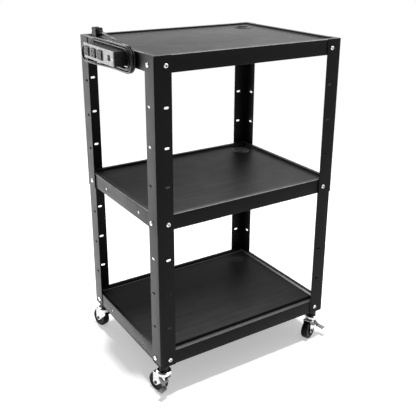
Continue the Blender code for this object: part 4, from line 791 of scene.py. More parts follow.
def seat_tree(pattern, spread):
    """Puts the pattern on every point, its axis along the point's "outward", and gives it its finish."""
    tree = bpy.data.node_groups.new("fasteners_on_seats", "GeometryNodeTree")
    for in_out in ("INPUT", "OUTPUT"):
        tree.interface.new_socket("Geometry", in_out=in_out, socket_type="NodeSocketGeometry")

    def made(output, kind, inputs, data_type=None):
        return add_node(tree, kind, inputs, data_type).outputs[output]

    outward = made("Attribute", "GeometryNodeInputNamedAttribute", {"Name": "outward"}, "FLOAT_VECTOR")
    aim = add_node(tree, "FunctionNodeAlignRotationToVector", {"Vector": outward})
    aim.axis = "Z"
    angle = made("Value", "FunctionNodeRandomValue", {"Max": spread, "Seed": 7}, "FLOAT")
    spin = made("Rotation", "FunctionNodeAxisAngleToRotation", {"Axis": (0.0, 0.0, 1.0), "Angle": angle})
    turn = add_node(tree, "FunctionNodeRotateRotation", {"Rotation": aim.outputs[0], "Rotate By": spin})
    turn.rotation_space = "LOCAL"
    fastener = made("Geometry", "GeometryNodeObjectInfo", {"Object": pattern})
    points = tree.nodes.new("NodeGroupInput").outputs["Geometry"]
    seats = {"Points": points, "Instance": fastener, "Rotation": turn.outputs[0]}
    instances = made("Instances", "GeometryNodeInstanceOnPoints", seats)
    plain = made("Geometry", "GeometryNodeRealizeInstances", {"Geometry": instances})
    plain = made("Geometry", "GeometryNodeSetMaterial", {"Geometry": plain, "Material": zinc})
    # Faces inside the driver recess take the painted recess shade.
    inside = made("Attribute", "GeometryNodeInputNamedAttribute", {"Name": "driver_recess"}, "BOOLEAN")
    marked = {"Geometry": plain, "Selection": inside, "Material": recess_shade_and_grime}
    plain = made("Geometry", "GeometryNodeSetMaterial", marked)
    add_node(tree, "NodeGroupOutput", {"Geometry": plain})
    return tree


def fastened(name, bm, seats, recess_radius=0.0, recess_top=0.0, spread=math.tau):
    """A zinc-plated fastener on each of the seats, given as (place, outward) pairs."""
    bmesh.ops.recalc_face_normals(bm, faces=bm.faces[:])
    mesh = plain_mesh("fastener", bm)
    recess = mesh.attributes.new("driver_recess", "BOOLEAN", "FACE")
    for mark, face in zip(recess.data, mesh.polygons):
        mark.value = face.center.xy.length < recess_radius and 0.0 < face.center.z < recess_top
    mesh.shade_smooth()
    mesh.set_sharp_from_angle(angle=SMOOTH_ANGLE)
    mesh.materials.append(zinc)
    pattern = in_scene("fastener", mesh)
    mesh = bpy.data.meshes.new(name)
    mesh.from_pydata([place for place, _ in seats], [], [])
    outward = mesh.attributes.new("outward", "FLOAT_VECTOR", "POINT")
    for item, (_, direction) in zip(outward.data, seats):
        item.vector = direction
    holder = in_scene("seats", mesh)
    holder.modifiers.new("on_seats", "NODES").node_group = seat_tree(pattern, spread)
    bpy.context.view_layer.update()
    graph = bpy.context.evaluated_depsgraph_get()
    piece = in_scene(name, bpy.data.meshes.new_from_object(holder.evaluated_get(graph), depsgraph=graph))
    for used in (holder, pattern):
        bpy.data.objects.remove(used, do_unlink=True)
    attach(piece, "cart")


bolt_seats = []
nut_seats = []
for label, row in SHELF_ROWS.items():
    z = first_bolt_z + row * HOLE_PITCH
    cover = lap_gap if row == 0 else 0.0
    apron = leg_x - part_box(f"{label}_shelf")[1].x + SHELF_SHEET + SEAT_GAP
    for side in (-1, 1):
        for other in (-1, 1):
            x, y = other * (leg_x - HOLE_INSET), other * (leg_y - HOLE_INSET)
            bolt_seats.append(((x, side * (leg_y - cover), z), (0.0, side, 0.0)))
            bolt_seats.append(((side * (leg_x - cover), y, z), (side, 0.0, 0.0)))
            nut_seats.append(((x, side * (leg_y - apron), z), (0.0, -side, 0.0)))
            nut_seats.append(((side * (leg_x - apron), y, z), (-side, 0.0, 0.0)))
key_corner = HEX_KEY / math.sqrt(3.0) + 0.0001
fastened("shelf_bolt_heads", button_bolt(), bolt_seats, key_corner, BOLT_HEAD_HEIGHT - 0.0001)
nut_corner = NUT_ACROSS_FLATS / math.sqrt(3.0)
over, under = nut_corner * 1.01, nut_corner * 0.90
profile = [(0.0, 0.0), (under, 0.0), (over, CHAMFER), (over, NUT_HEIGHT - CHAMFER), (under, NUT_HEIGHT)]
profile.append((0.0, NUT_HEIGHT))
bore = circle(BOLT_DIAMETER / 2 + 0.0002, 24)
fastened("shelf_nuts", hexagon_nut(nut_corner, NUT_HEIGHT, bore, profile), nut_seats)

# The two cable grommets are black mouldings in two parts: a flanged sleeve that snaps into the shelf, and
# a cap lying in it with an off-centre hole and a notch that thin cables are led out through.
GROMMET_SLEEVE = 0.051
GROMMET_SLEEVE_DEPTH = 0.012
GROMMET_WALL = 0.0025
GROMMET_LEDGE = 0.002
GROMMET_FLANGE_HEIGHT = 0.0022
GROMMET_ROUNDING = 0.0025
CAP_SHEET = 0.002
CABLE_HOLE = 0.034
CABLE_HOLE_OFFSET = 0.005
CABLE_NOTCH_WIDTH = 0.008
CABLE_NOTCH_REACH = 0.021
SMALL_EDGE = 0.0004


def moulded_black(name, dark, light, roughness, grain, specular=0.2):
    """Black moulded plastic with a spark-eroded grain and faint flow marks."""
    flow = (0.3, 0.7, 60.0, 3.0, 0.6, 1.5)
    wander = (roughness - 0.06, roughness + 0.06)
    return surface(name, [dark, light], flow, wander, (0.3, 0.7, 210.0), [(0.2, 0.0001, grain)], specular)


grommet_plastic = moulded_black("grommet_plastic", (0.05, 0.05, 0.052), (0.068, 0.068, 0.07), 0.38, 2600.0)
cap_plastic = moulded_black("cap_plastic", (0.024, 0.024, 0.025), (0.034, 0.034, 0.035), 0.36, 2600.0)
tube = GROMMET_SLEEVE / 2
bore = tube - GROMMET_WALL
ledge = bore - GROMMET_LEDGE
deep = -GROMMET_SLEEVE_DEPTH
lip = GROMMET_FLANGE_HEIGHT + SEAT_GAP
ledge_z = GROMMET_FLANGE_HEIGHT - CAP_SHEET - SEAT_GAP
edge_z = SEAT_GAP + SMALL_EDGE
cap = bore - SMALL_EDGE
for label in ("top", "middle"):
    node = f"grommet_ring_{label}"
    low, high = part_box(node)
    spot = Matrix.Translation((*middle(node)[:2], high.z - GROMMET_FLANGE_HEIGHT - SEAT_GAP))
    flange = (high.x - low.x) / 2
    profile = [(tube, deep), (tube, SEAT_GAP), (flange, SEAT_GAP), (flange, edge_z)]
    profile += arc(flange - GROMMET_ROUNDING, edge_z, GROMMET_ROUNDING, lip - edge_z, 0.0, 90.0, 5, 1)
    profile += [(bore + SMALL_EDGE, lip), (bore, lip - SMALL_EDGE), (bore, ledge_z), (ledge, ledge_z)]
    profile += [(ledge, ledge_z - GROMMET_LEDGE), (bore, ledge_z - 2 * GROMMET_LEDGE)]
    profile += [(bore, deep), (tube, deep)]
    ring = placed(turned_about_z(profile, 72), spot)
    finish_piece(f"grommet_sleeve_{label}", ring, grommet_plastic, node)
    below = lip - SMALL_EDGE
    profile = [(0.0, lip - CAP_SHEET), (cap, lip - CAP_SHEET), (cap, below), (cap - SMALL_EDGE, lip)]
    profile += [(cap - 0.0016, lip), (cap - 0.0019, below), (cap - 0.0023, below), (cap - 0.0026, lip)]
    profile.append((0.0, lip))
    hole = extruded(circle(CABLE_HOLE / 2, 48, -CABLE_HOLE_OFFSET), -lip, 2 * lip)
    reach = CABLE_NOTCH_REACH / 2
    notch = extruded(rectangle(reach, CABLE_NOTCH_WIDTH / 2, 0.0015, 4, reach), -lip, 2 * lip)
    disc = placed(shaped(turned_about_z(profile, 72), shaped(hole, notch, "UNION")), spot)
    cap_node = f"grommet_cap_{label}"
    finish_piece(f"grommet_cable_cap_{label}", disc, cap_plastic, cap_node, edge=0.0002)

# Four swivel casters. Each one has a chrome-plated upper cup on a kingpin, under a black spacer collar, and
# the kingpin's stem goes up through the gusset plate and takes a nut.
KINGPIN_DIAMETER = 0.010
KINGPIN_HEAD_DIAMETER = 0.015
KINGPIN_HEAD_HEIGHT = 0.0035
STEM_CHAMFER = 0.0008
CROWN_UNDERSIDE = 0.0635
FORK_SHEET = 0.002
RACE_DIAMETER = 0.040
RACE_HEIGHT = 0.0045
CUP_DIAMETER = 0.047
CUP_GAP = 0.0006
CUP_HEIGHT = 0.0078
CUP_RIM = 0.002
CUP_ROUNDING = 0.006
COLLAR_ROUNDING = 0.0015
STEM_NUT_ACROSS_FLATS = 0.017
STEM_NUT_HEIGHT = 0.007
STEM_NUT_DROP = 0.003
RUNNING_GAP = 0.0005
crown_top = CROWN_UNDERSIDE + FORK_SHEET
race_top = crown_top + RACE_HEIGHT
cup_low = race_top + CUP_GAP
cup_top = cup_low + CUP_HEIGHT
joint_of = {joint["name"]: joint for joint in frame["joints"]}

# Bright chrome over pressed steel: hazy in places, with a faint ripple from the press.
chrome = surface(
    "chrome_plate",
    [(0.60, 0.60, 0.605), (0.80, 0.80, 0.805)],
    (0.3, 0.7, 140.0, 3.0),
    (0.07, 0.19),
    (0.35, 0.7, 500.0, 4.0),
    [(0.35, 0.0010, 70.0)],
    metallic=1.0,
)
collar_plastic = moulded_black("collar_plastic", (0.012, 0.012, 0.013), (0.020, 0.020, 0.021), 0.48, 1800.0)
pin = KINGPIN_DIAMETER / 2
head = KINGPIN_HEAD_DIAMETER / 2
head_top = CROWN_UNDERSIDE - SEAT_GAP
dome = 0.8 * KINGPIN_HEAD_HEIGHT
cup = CUP_DIAMETER / 2
skirt = RACE_DIAMETER / 2 + 2 * RUNNING_GAP
skirt_low = cup_low - RACE_HEIGHT / 2
rim_z = cup_low + CUP_RIM
stem_nut_seats = []
for corner in CORNERS:
    swivel_x, swivel_y, _ = joint_of[f"swivel_{corner}"]["pos_m"]
    spot = Matrix.Translation((swivel_x, swivel_y, 0.0))
    stem_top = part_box(f"kingpin_{corner}")[1].z
    profile = [(0.0, head_top - KINGPIN_HEAD_HEIGHT)]
    profile += arc(0.6 * head, head_top - dome / 4, 0.4 * head, dome, -90.0, 0.0, 4)
    profile += [(head, head_top), (pin, head_top), (pin, cup_low), (skirt, cup_low), (skirt, skirt_low)]
    profile += [(cup - CHAMFER, skirt_low), (cup, skirt_low + CHAMFER)]
    profile += arc(cup - CUP_ROUNDING, rim_z, CUP_ROUNDING, cup_top - rim_z, 0.0, 90.0, 6)
    profile += [(pin, cup_top), (pin, stem_top - STEM_CHAMFER), (pin - STEM_CHAMFER, stem_top)]
    profile.append((0.0, stem_top))
    kingpin = placed(turned_about_z(profile, 64), spot)
    finish_piece(f"swivel_cup_{corner}", kingpin, chrome, f"kingpin_{corner}")

    node = f"stem_collar_{corner}"
    low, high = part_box(node)
    outer = (high.x - low.x) / 2
    bore = pin + SMALL_EDGE
    bottom, top = low.z, high.z
    profile = [(bore, bottom), (outer - COLLAR_ROUNDING, bottom), (outer - SMALL_EDGE, bottom + SMALL_EDGE)]
    profile += [(outer, bottom + COLLAR_ROUNDING), (outer, top - COLLAR_ROUNDING)]
    profile += [(outer - SMALL_EDGE, top - SMALL_EDGE), (outer - 0.0012, top), (bore, top), (bore, bottom)]
    collar = placed(turned_about_z(profile, 48), spot)
    finish_piece(f"spacer_collar_{corner}", collar, collar_plastic, node)
    seat_z = stem_top - STEM_NUT_DROP - STEM_NUT_HEIGHT
    stem_nut_seats.append(((swivel_x, swivel_y, seat_z), (0.0, 0.0, 1.0)))
nut_corner = STEM_NUT_ACROSS_FLATS / math.sqrt(3.0)
height = STEM_NUT_HEIGHT
over = nut_corner * 1.01
profile = [(0.0, 0.0), (over, 0.0), (over, height - 2 * CHAMFER), (nut_corner * 0.86, height), (0.0, height)]
stem_nut = hexagon_nut(nut_corner, height, circle(pin + 0.0003, 32), profile)
fastened("stem_nuts", stem_nut, stem_nut_seats, spread=0.6)

# Each fork is pressed from 2 mm steel and chrome plated: a crown dished up into the lower ball race, two
# cheeks with the axle at their rounded ends, and a riveted axle of blackened steel with domed heads.
CASTER_TRAIL = 0.022
WHEEL_DIAMETER = 0.060
WHEEL_WIDTH = 0.022
WHEEL_SIDE_GAP = 0.0013
FORK_FRONT = 0.015
FORK_CHEEK_DROP = 0.013
FORK_BOSS_RADIUS = 0.0085
FORK_PRESS_RADIUS = 0.0015
RACE_ROUNDING = 0.0045
AXLE_HEAD_DIAMETER = 0.011
AXLE_HEAD_HEIGHT = 0.0022
AXLE_HEAD_ROUNDING = 0.0028
AXLE_DIAMETER = 0.006
wheel_radius = WHEEL_DIAMETER / 2
cheek_inner = WHEEL_WIDTH / 2 + WHEEL_SIDE_GAP
cheek_outer = cheek_inner + FORK_SHEET


def caster_matrix(corner):
    """From a caster's own frame, +X along its trail and +Y along its axle, to the cart's."""
    swivel_x, swivel_y, _ = joint_of[f"swivel_{corner}"]["pos_m"]
    axle_x, axle_y, _ = joint_of[f"wheel_spin_{corner}"]["axis"]
    turn = math.atan2(axle_y, axle_x) - math.pi / 2
    return Matrix.Translation((swivel_x, swivel_y, 0.0)) @ Matrix.Rotation(turn, 4, "Z")


def fork_sheet():
    """The U of crown and cheeks, then the dished race joined to its crown."""
    front = -FORK_FRONT
    low_front = crown_top - FORK_CHEEK_DROP
    to_axle = Vector((CASTER_TRAIL, wheel_radius)) - Vector((front, low_front))
    slant = math.atan2(to_axle.y, to_axle.x) - math.asin(FORK_BOSS_RADIUS / to_axle.length)
    boss = FORK_BOSS_RADIUS
    outline = [(front, crown_top), (front, low_front + 0.0015), (front + 0.0004, low_front + 0.0005)]
    outline.append((front + 0.0012, low_front - 0.0011))
    outline += arc(CASTER_TRAIL, wheel_radius, boss, boss, math.degrees(slant) - 90.0, 0.0, 16)
    outline.append((CASTER_TRAIL + boss, crown_top))
    blank = placed(extruded(outline, -cheek_outer, cheek_outer), facing_y)
    press = FORK_PRESS_RADIUS
    section = [(-cheek_inner, -0.01), (cheek_inner, -0.01)]
    for side, first in ((1, 0.0), (-1, 90.0)):
        bend = side * (cheek_inner - press)
        section += arc(bend, CROWN_UNDERSIDE - press, press, press, first, first + 90.0, 4)
    fork = shaped(blank, placed(extruded(section, -0.1, 0.1), facing_x))
    race = RACE_DIAMETER / 2
    low = CROWN_UNDERSIDE + 0.0001
    profile = [(0.0, low), (race - CHAMFER, low), (race, low + CHAMFER)]
    profile += arc(race - RACE_ROUNDING, crown_top, RACE_ROUNDING, race_top - crown_top, 0.0, 90.0, 6)
    fork = shaped(fork, turned_about_z(profile + [(0.0, race_top)], 64), "UNION")
    return shaped(fork, extruded(circle(KINGPIN_DIAMETER / 2 + RUNNING_GAP, 32), 0.05, 0.09))


def axle_pin():
    """The axle, along its own Z, with a domed head at each end."""
    head = AXLE_HEAD_DIAMETER / 2
    face = cheek_outer + SEAT_GAP
    dome = AXLE_HEAD_ROUNDING
    upper = [(AXLE_DIAMETER / 2, 0.0), (AXLE_DIAMETER / 2, face), (head - 0.0002, face)]
    upper += arc(head - dome, face, dome, AXLE_HEAD_HEIGHT, 0.0, 90.0, 5) + [(0.0, face + AXLE_HEAD_HEIGHT)]
    return turned_about_z(mirrored(upper)[:-1] + upper[1:], 40)


# Oil-blackened steel, worn grey in patches.
axle_black = surface(
    "axle_steel",
    [(0.04, 0.04, 0.04), (0.11, 0.11, 0.11)],
    (0.4, 0.65, 420.0, 3.0),
    (0.28, 0.45),
    (0.3, 0.7, 900.0, 3.0),
    [(0.12, 0.00005, 2600.0)],
    metallic=1.0,
)
pattern = fork_sheet()
for corner in CORNERS:
    here = caster_matrix(corner)
    caster = f"caster_{corner}"
    node = f"fork_{corner}"
    fork = placed(pattern.copy(), here)
    finish_piece(f"pressed_{node}", fork, chrome, node, caster, edge=0.0004)
    axle = placed(axle_pin(), here @ Matrix.Translation((CASTER_TRAIL, 0.0, wheel_radius)) @ facing_y)
    finish_piece(f"riveted_axle_{corner}", axle, axle_black, f"axle_{corner}", caster)
pattern.free()

# The wheels are moulded hubs, bored for the axle, with a black rubber tyre bonded round them. The tyre has
# rounded shoulders and a slight crown, and the hub a thin web between boss and rim.
TREAD_THICKNESS = 0.009
TREAD_SHOULDER = 0.004
TREAD_CROWN = 0.0002
HUB_WEB = 0.010
HUB_RIM = 0.0035
HUB_BOSS_DIAMETER = 0.015
HUB_FILLET = 0.0018


def tyre():
    """The tyre about its own Z."""
    inner = wheel_radius - TREAD_THICKNESS + SEAT_GAP
    low = -WHEEL_WIDTH / 2
    shoulder = wheel_radius - TREAD_SHOULDER
    profile = [(inner, low + CHAMFER), (inner + CHAMFER, low), (shoulder, low)]
    wide = TREAD_SHOULDER - TREAD_CROWN
    profile += arc(shoulder, low + TREAD_SHOULDER, wide, TREAD_SHOULDER, -90.0, 0.0, 6, 1)
    return turned_about_z(profile + [(wheel_radius, 0.0)] + mirrored(profile) + [profile[0]], 96)


def hub():
    """The hub about its own Z: a bored boss, a thin web and a rim."""
    bore = AXLE_DIAMETER / 2 + RUNNING_GAP
    boss = HUB_BOSS_DIAMETER / 2
    rim = wheel_radius - TREAD_THICKNESS
    inner = rim - HUB_RIM
    top = WHEEL_WIDTH / 2
    web = HUB_WEB / 2
    upper = [(bore, top - SMALL_EDGE), (bore + SMALL_EDGE, top), (boss - CHAMFER, top)]
    upper += [(boss, top - CHAMFER), (boss + CHAMFER, web + 0.0012), (boss + HUB_FILLET, web)]
    upper.append((inner - HUB_FILLET, web))
    upper += [(inner - CHAMFER, web + 0.0012), (inner, top - HUB_FILLET), (inner + 0.0005, top - 0.0012)]
    upper += [(rim - 0.0003, top - 0.0012), (rim, top - 0.0016)]
    return turned_about_z(upper + mirrored(upper) + [upper[0]], 64)


# Deep black rubber with a soft sheen, hardly greyed by floor dust.
rubber = surface(
    "tyre_rubber",
    [(0.003, 0.003, 0.003), (0.009, 0.009, 0.0088)],
    (0.42, 0.72, 120.0, 5.0, 0.65),
    (0.28, 0.44),
    (0.3, 0.7, 300.0, 3.0),
    [(0.3, 0.0002, 1500.0, 3.0)],
    specular=0.10,
)
hub_plastic = moulded_black("hub_plastic", (0.008, 0.008, 0.008), (0.014, 0.014, 0.014), 0.26, 1500.0)
for corner in CORNERS:
    to_axle = caster_matrix(corner) @ Matrix.Translation((CASTER_TRAIL, 0.0, wheel_radius)) @ facing_y
    wheel = f"wheel_{corner}"
    moulded = placed(hub(), to_axle)
    finish_piece(f"moulded_hub_{corner}", moulded, hub_plastic, f"wheel_hub_{corner}", wheel)
    bonded = placed(tyre(), to_axle)
    finish_piece(f"tyre_{corner}", bonded, rubber, f"wheel_tread_{corner}", wheel)

# The front casters have a foot brake: a zinc-plated lever riveted to the outer cheek, its arm running
# down to a pedal turned outwards with a raised toe, and a shoe turned in towards the tyre.
BRAKE_SHEET = 0.002
BRAKE_PIVOT_TRAIL = 0.001
BRAKE_PIVOT_HEIGHT = 0.0545
BRAKE_EAR_RADIUS = 0.006
PEDAL_TRAIL = -0.018
PEDAL_HEIGHT = 0.030
PEDAL_LENGTH = 0.017
PEDAL_REACH = 0.020
PEDAL_DROP = 0.004
PEDAL_LIP = 0.005
SHOE_HEIGHT = 0.041
SHOE_LENGTH = 0.008
SHOE_REACH = 0.007
SHOE_GAP = 0.003


def brake_lever():
    """The lever in its caster's own frame: arm, pedal, shoe and rivet."""
    near = cheek_outer + SEAT_GAP
    far = near + BRAKE_SHEET
    half_pedal = PEDAL_LENGTH / 2
    ear = BRAKE_EAR_RADIUS
    arm = [(PEDAL_TRAIL - half_pedal, PEDAL_HEIGHT), (PEDAL_TRAIL + half_pedal, PEDAL_HEIGHT)]
    arm += arc(BRAKE_PIVOT_TRAIL, BRAKE_PIVOT_HEIGHT, ear, ear, -45.0, 180.0, 15)
    lever = placed(extruded(arm, -far, -near), facing_y)
    centre = (near + far) / 2
    low = PEDAL_HEIGHT + SMALL_EDGE
    tip = far + PEDAL_REACH
    dip = low - PEDAL_DROP
    bed = [(centre, low), (far, low), (tip, dip), (tip + PEDAL_LIP, dip + PEDAL_LIP)]
    top = [(y, z + BRAKE_SHEET) for y, z in reversed(bed)]
    half_tread = half_pedal - SMALL_EDGE
    pedal = extruded(bed + top, PEDAL_TRAIL - half_tread, PEDAL_TRAIL + half_tread)
    lever = shaped(lever, placed(pedal, facing_x), "UNION")
    lift = math.asin((SHOE_HEIGHT - wheel_radius) / (wheel_radius + SHOE_GAP))
    outward = Vector((-math.cos(lift), math.sin(lift)))
    along = Vector((math.sin(lift), math.cos(lift))) * SHOE_LENGTH / 2
    face = Vector((CASTER_TRAIL, wheel_radius)) + outward * (wheel_radius + SHOE_GAP)
    back = face + outward * BRAKE_SHEET
    shoe = extruded([face - along, face + along, back + along, back - along], -centre, SHOE_REACH)
    lever = shaped(lever, placed(shoe, facing_y), "UNION")
    dome = [(0.0036, 0.0), (0.0032, 0.0008), (0.0018, 0.0013), (0.0, 0.0014)]
    rivet_head = turned_about_z([(0.0, -0.001), (0.0034, -0.001)] + dome, 24)
    pivot = Matrix.Translation((BRAKE_PIVOT_TRAIL, far, BRAKE_PIVOT_HEIGHT))
    return shaped(lever, placed(rivet_head, pivot @ z_to_y), "UNION")


# Pressed steel with a thin, dull grey zinc passivation, scuffed darker by shoes.
brake_steel = surface(
    "brake_steel",
    [(0.08, 0.08, 0.08), (0.26, 0.26, 0.26)],
    (0.35, 0.65, 260.0, 4.0, 0.65, 1.0),
    (0.3, 0.5),
    (0.3, 0.7, 700.0, 3.0),
    [(0.15, 0.0001, 1800.0)],
    metallic=1.0,
)
z_to_y = Matrix.Rotation(math.radians(-90.0), 4, "X")
for corner in ("front_left", "front_right"):
    lever = placed(brake_lever(), caster_matrix(corner))
    brake = f"brake_{corner}"
    node = f"brake_pedal_{corner}"
    finish_piece(f"foot_{brake}", lever, brake_steel, node, brake, edge=0.0005)

# The strip hangs on a bracket bent from 1.5 mm sheet and powder coated: a back plate screwed to the apron,
# with a half-round saddle and lip at each end that the cord is wound over.
SADDLE_SHEET = 0.0015
SADDLE_LIP = 0.0035
SADDLE_GAP = 0.0008
saddle_radius = winding_radius - CORD_PITCH - CORD_DIAMETER / 2 - SADDLE_GAP
z_to_left = Matrix.Rotation(math.radians(-90.0), 4, "Y")


def strip_bracket():
    """The back plate, and at each end a half-round saddle with its lip."""
    plate = square(winding_straight, saddle_radius, strip_middle_y, winding_z)
    bracket = placed(extruded(plate, bracket_face, bracket_face + BRACKET_SHEET), facing_x)
    width = bracket_face - (outer_column_x - CORD_DIAMETER / 2 - SADDLE_GAP)
    end = width + SADDLE_SHEET
    radius = saddle_radius
    inner = radius - SADDLE_SHEET
    lip = radius + SADDLE_LIP
    for side in (-1, 1):
        section = [(0.0, -BRACKET_SHEET), (radius, -BRACKET_SHEET), (radius, width - CHAMFER)]
        section += [(radius + CHAMFER, width), (lip - SMALL_EDGE, width), (lip, width + SMALL_EDGE)]
        section += [(lip, end - SMALL_EDGE), (lip - SMALL_EDGE, end), (inner + 0.0012, end)]
        section += [(inner, end - 0.0012), (inner, 0.0), (0.0, 0.0)]
        keep = extruded(square(2 * lip, lip, 0.0, lip), -0.01, width + 0.01)
        half = shaped(turned_about_z(section, 64), keep, "INTERSECT")
        flip = Matrix.Rotation(0.0 if side > 0 else math.pi, 4, "X")
        spot = Matrix.Translation((bracket_face, strip_middle_y + side * winding_straight, winding_z))
        bracket = shaped(bracket, placed(half, spot @ flip @ z_to_left), "UNION")
    return bracket


def cross_recess_screw(head_diameter, head_height, shank_diameter, length):
    """A pan-head screw, its seat at z = 0, with a cross recess in its domed head."""
    head = head_diameter / 2
    shank = shank_diameter / 2
    profile = [(0.0, -length), (shank, 0.001 - length), (shank, 0.0), (head, 0.0)]
    profile += arc(head / 2, head_height / 4, head / 2, head_height * 0.75, 0.0, 90.0, 5)
    screw = turned_about_z(profile + [(0.0, head_height)], 32)
    arm, blade = head * 0.55, head * 0.16
    first = extruded(square(arm, blade), head_height * 0.3, 2 * head_height)
    second = extruded(square(blade, arm), head_height * 0.3, 2 * head_height)
    return shaped(screw, shaped(first, second, "UNION"))


bracket = strip_bracket()
finish_piece("cord_saddle_bracket", bracket, leg_coat, "strip_bracket", edge=0.0002)
for node in ("bracket_screw_front", "bracket_screw_rear", "faceplate_screw_front", "faceplate_screw_rear"):
    low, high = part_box(node)
    head_height, shank = (0.0012, 0.0026) if node.startswith("faceplate") else (0.002, 0.004)
    screw = cross_recess_screw(high.z - low.z, head_height, shank, high.x - low.x - head_height)
    seat = Matrix.Translation((low.x + head_height, *middle(node)[1:]))
    finish_piece(f"cross_{node}", placed(screw, seat @ z_to_left), zinc, node)

# The power strip is a black moulded box, open at its face, closed by a light grey faceplate. The plate has
# three windows for the outlets and one for the switch.
STRIP_WALL = 0.002
STRIP_CORNER = 0.0025
WINDOW_CORNER = 0.0014
SWITCH_RADIUS = 0.0135 / 2
SWITCH_GAP = 0.0006
CUT_PAST = 0.01
OUTLETS = ("rear", "middle", "front")


def light_grey_plastic(name, dark, light, specular=0.5):
    """Light grey moulded plastic: fine grain, slightly yellowed in clouds, rubbed smoother in places."""
    age = (0.3, 0.7, 30.0, 4.0, 0.6)
    rubbed = (0.3, 0.7, 160.0, 3.0)
    return surface(name, [dark, light], age, (0.38, 0.52), rubbed, [(0.15, 0.0001, 2200.0)], specular)


strip_middle_z = middle("strip_housing")[2]
strip_half_z = (strip_high.z - strip_low.z) / 2
strip_black = moulded_black("strip_plastic", (0.014, 0.014, 0.015), (0.022, 0.022, 0.023), 0.4, 2000.0)
strip_outline = rectangle(strip_half_y, strip_half_z, STRIP_CORNER, 6, strip_middle_y, strip_middle_z)
room_y, room_z = strip_half_y - STRIP_WALL, strip_half_z - STRIP_WALL
room = rectangle(room_y, room_z, STRIP_CORNER / 2, 4, strip_middle_y, strip_middle_z)
hollow = extruded(room, strip_low.x - STRIP_WALL, strip_high.x - STRIP_WALL)
housing = placed(shaped(extruded(strip_outline, strip_low.x, strip_high.x), hollow), facing_x)
finish_piece("strip_box", housing, strip_black, "strip_housing", edge=0.0004)

face_low, face_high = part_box("strip_faceplate")
low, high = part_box("rocker_switch")
switch_half_y = (high.y - low.y) / 2
switch_y = (low.y + high.y) / 2
openings = []
for label in OUTLETS:
    low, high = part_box(f"outlet_{label}")
    half_y, half_z = (high.y - low.y) / 2 + SEAT_GAP, (high.z - low.z) / 2 + SEAT_GAP
    openings.append(rectangle(half_y, half_z, WINDOW_CORNER, 4, *middle(f"outlet_{label}")[1:]))
half_y, half_z = switch_half_y + SWITCH_GAP, SWITCH_RADIUS + SWITCH_GAP
openings.append(rectangle(half_y, half_z, 0.0008, 3, switch_y, strip_middle_z))
windows = gathered([extruded(each, face_low.x - CUT_PAST, face_high.x + CUT_PAST) for each in openings])
plate = placed(shaped(extruded(strip_outline, face_low.x, face_high.x), windows), facing_x)
face_grey = light_grey_plastic("faceplate_plastic", (0.33, 0.33, 0.325), (0.40, 0.40, 0.39))
finish_piece("strip_face", plate, face_grey, "strip_faceplate", edge=0.0006, edge_steps=3)

# Each outlet is a black block that stands 4 mm proud of the plate, faced with a grey insert that has two
# blade slots and a D-shaped earth hole.
INSERT_SHEET = 0.0012
INSERT_SETBACK = 0.0011
BLOCK_CORNER = 0.0016
BLADE_SPACING = 0.0127
BLADE_SLOT_WIDTH = 0.0024
BLADE_SLOT_HEIGHT = 0.0075
EARTH_HOLE = 0.0056
EARTH_DROP = 0.0095
SOCKET_LIFT = 0.003
SOCKET_DEPTH = 0.012
outlet_grey = light_grey_plastic("outlet_plastic", (0.085, 0.085, 0.083), (0.13, 0.13, 0.127), 0.12)
for label in OUTLETS:
    node = f"outlet_{label}"
    low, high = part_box(node)
    _, y, z = middle(node)
    half_y, half_z = (high.y - low.y) / 2, (high.z - low.z) / 2
    body = extruded(rectangle(half_y, half_z, BLOCK_CORNER, 5, y, z), low.x + INSERT_SHEET, high.x)
    face = rectangle(half_y - INSERT_SETBACK, half_z - INSERT_SETBACK, WINDOW_CORNER, 5, y, z)
    insert = extruded(face, low.x, low.x + INSERT_SHEET - 0.0001)
    hole = EARTH_HOLE / 2
    slot_z = z + SOCKET_LIFT
    earth_z = slot_z - EARTH_DROP
    holes = []
    for slot_y in (y - BLADE_SPACING / 2, y + BLADE_SPACING / 2):
        holes.append(rectangle(BLADE_SLOT_WIDTH / 2, BLADE_SLOT_HEIGHT / 2, 0.0003, 2, slot_y, slot_z))
    flat = earth_z + EARTH_HOLE / 3
    holes.append(arc(y, earth_z, hole, hole, 180.0, 360.0, 16) + [(y + hole, flat), (y - hole, flat)])
    sockets = gathered([extruded(each, low.x - CUT_PAST, low.x + SOCKET_DEPTH) for each in holes])
    insert = placed(shaped(insert, sockets.copy()), facing_x)
    block = placed(shaped(body, sockets), facing_x)
    finish_piece(f"outlet_block_{label}", block, strip_black, node, edge=0.0005)
    finish_piece(f"outlet_face_{label}", insert, outlet_grey, edge=0.0004)

# The switch is a black rocker with a shallow V face that tilts about a pin inside the strip.
SWITCH_TILT = math.radians(9.0)
SWITCH_CORNER = 38.0
DISH_POWER = 1.4
corner_x = SWITCH_RADIUS * math.cos(math.radians(SWITCH_CORNER))
corner_y = SWITCH_RADIUS * math.sin(math.radians(SWITCH_CORNER))
dip = corner_x * math.tan(SWITCH_TILT)
outline = arc(0.0, 0.0, SWITCH_RADIUS, SWITCH_RADIUS, -SWITCH_CORNER, SWITCH_CORNER, 8)
for i in range(1, 8):
    share = 1.0 - i / 4
    outline.append((corner_x * share, corner_y - dip * (1.0 - abs(share) ** DISH_POWER)))
outline += arc(0.0, 0.0, -SWITCH_RADIUS, SWITCH_RADIUS, SWITCH_CORNER, -SWITCH_CORNER, 8)
upright = Matrix(((0, -1, 0, 0), (0, 0, 1, 0), (1, 0, 0, 0), (0, 0, 0, 1)))
on_pin = Matrix.Translation(joint_of["switch_rock"]["pos_m"]) @ Matrix.Rotation(SWITCH_TILT, 4, "Y")
rocker = placed(extruded(outline, -switch_half_y, switch_half_y), on_pin @ upright)
matt_black = moulded_black("rocker_plastic", (0.008, 0.008, 0.008), (0.012, 0.012, 0.012), 0.5, 3000.0, 0.05)
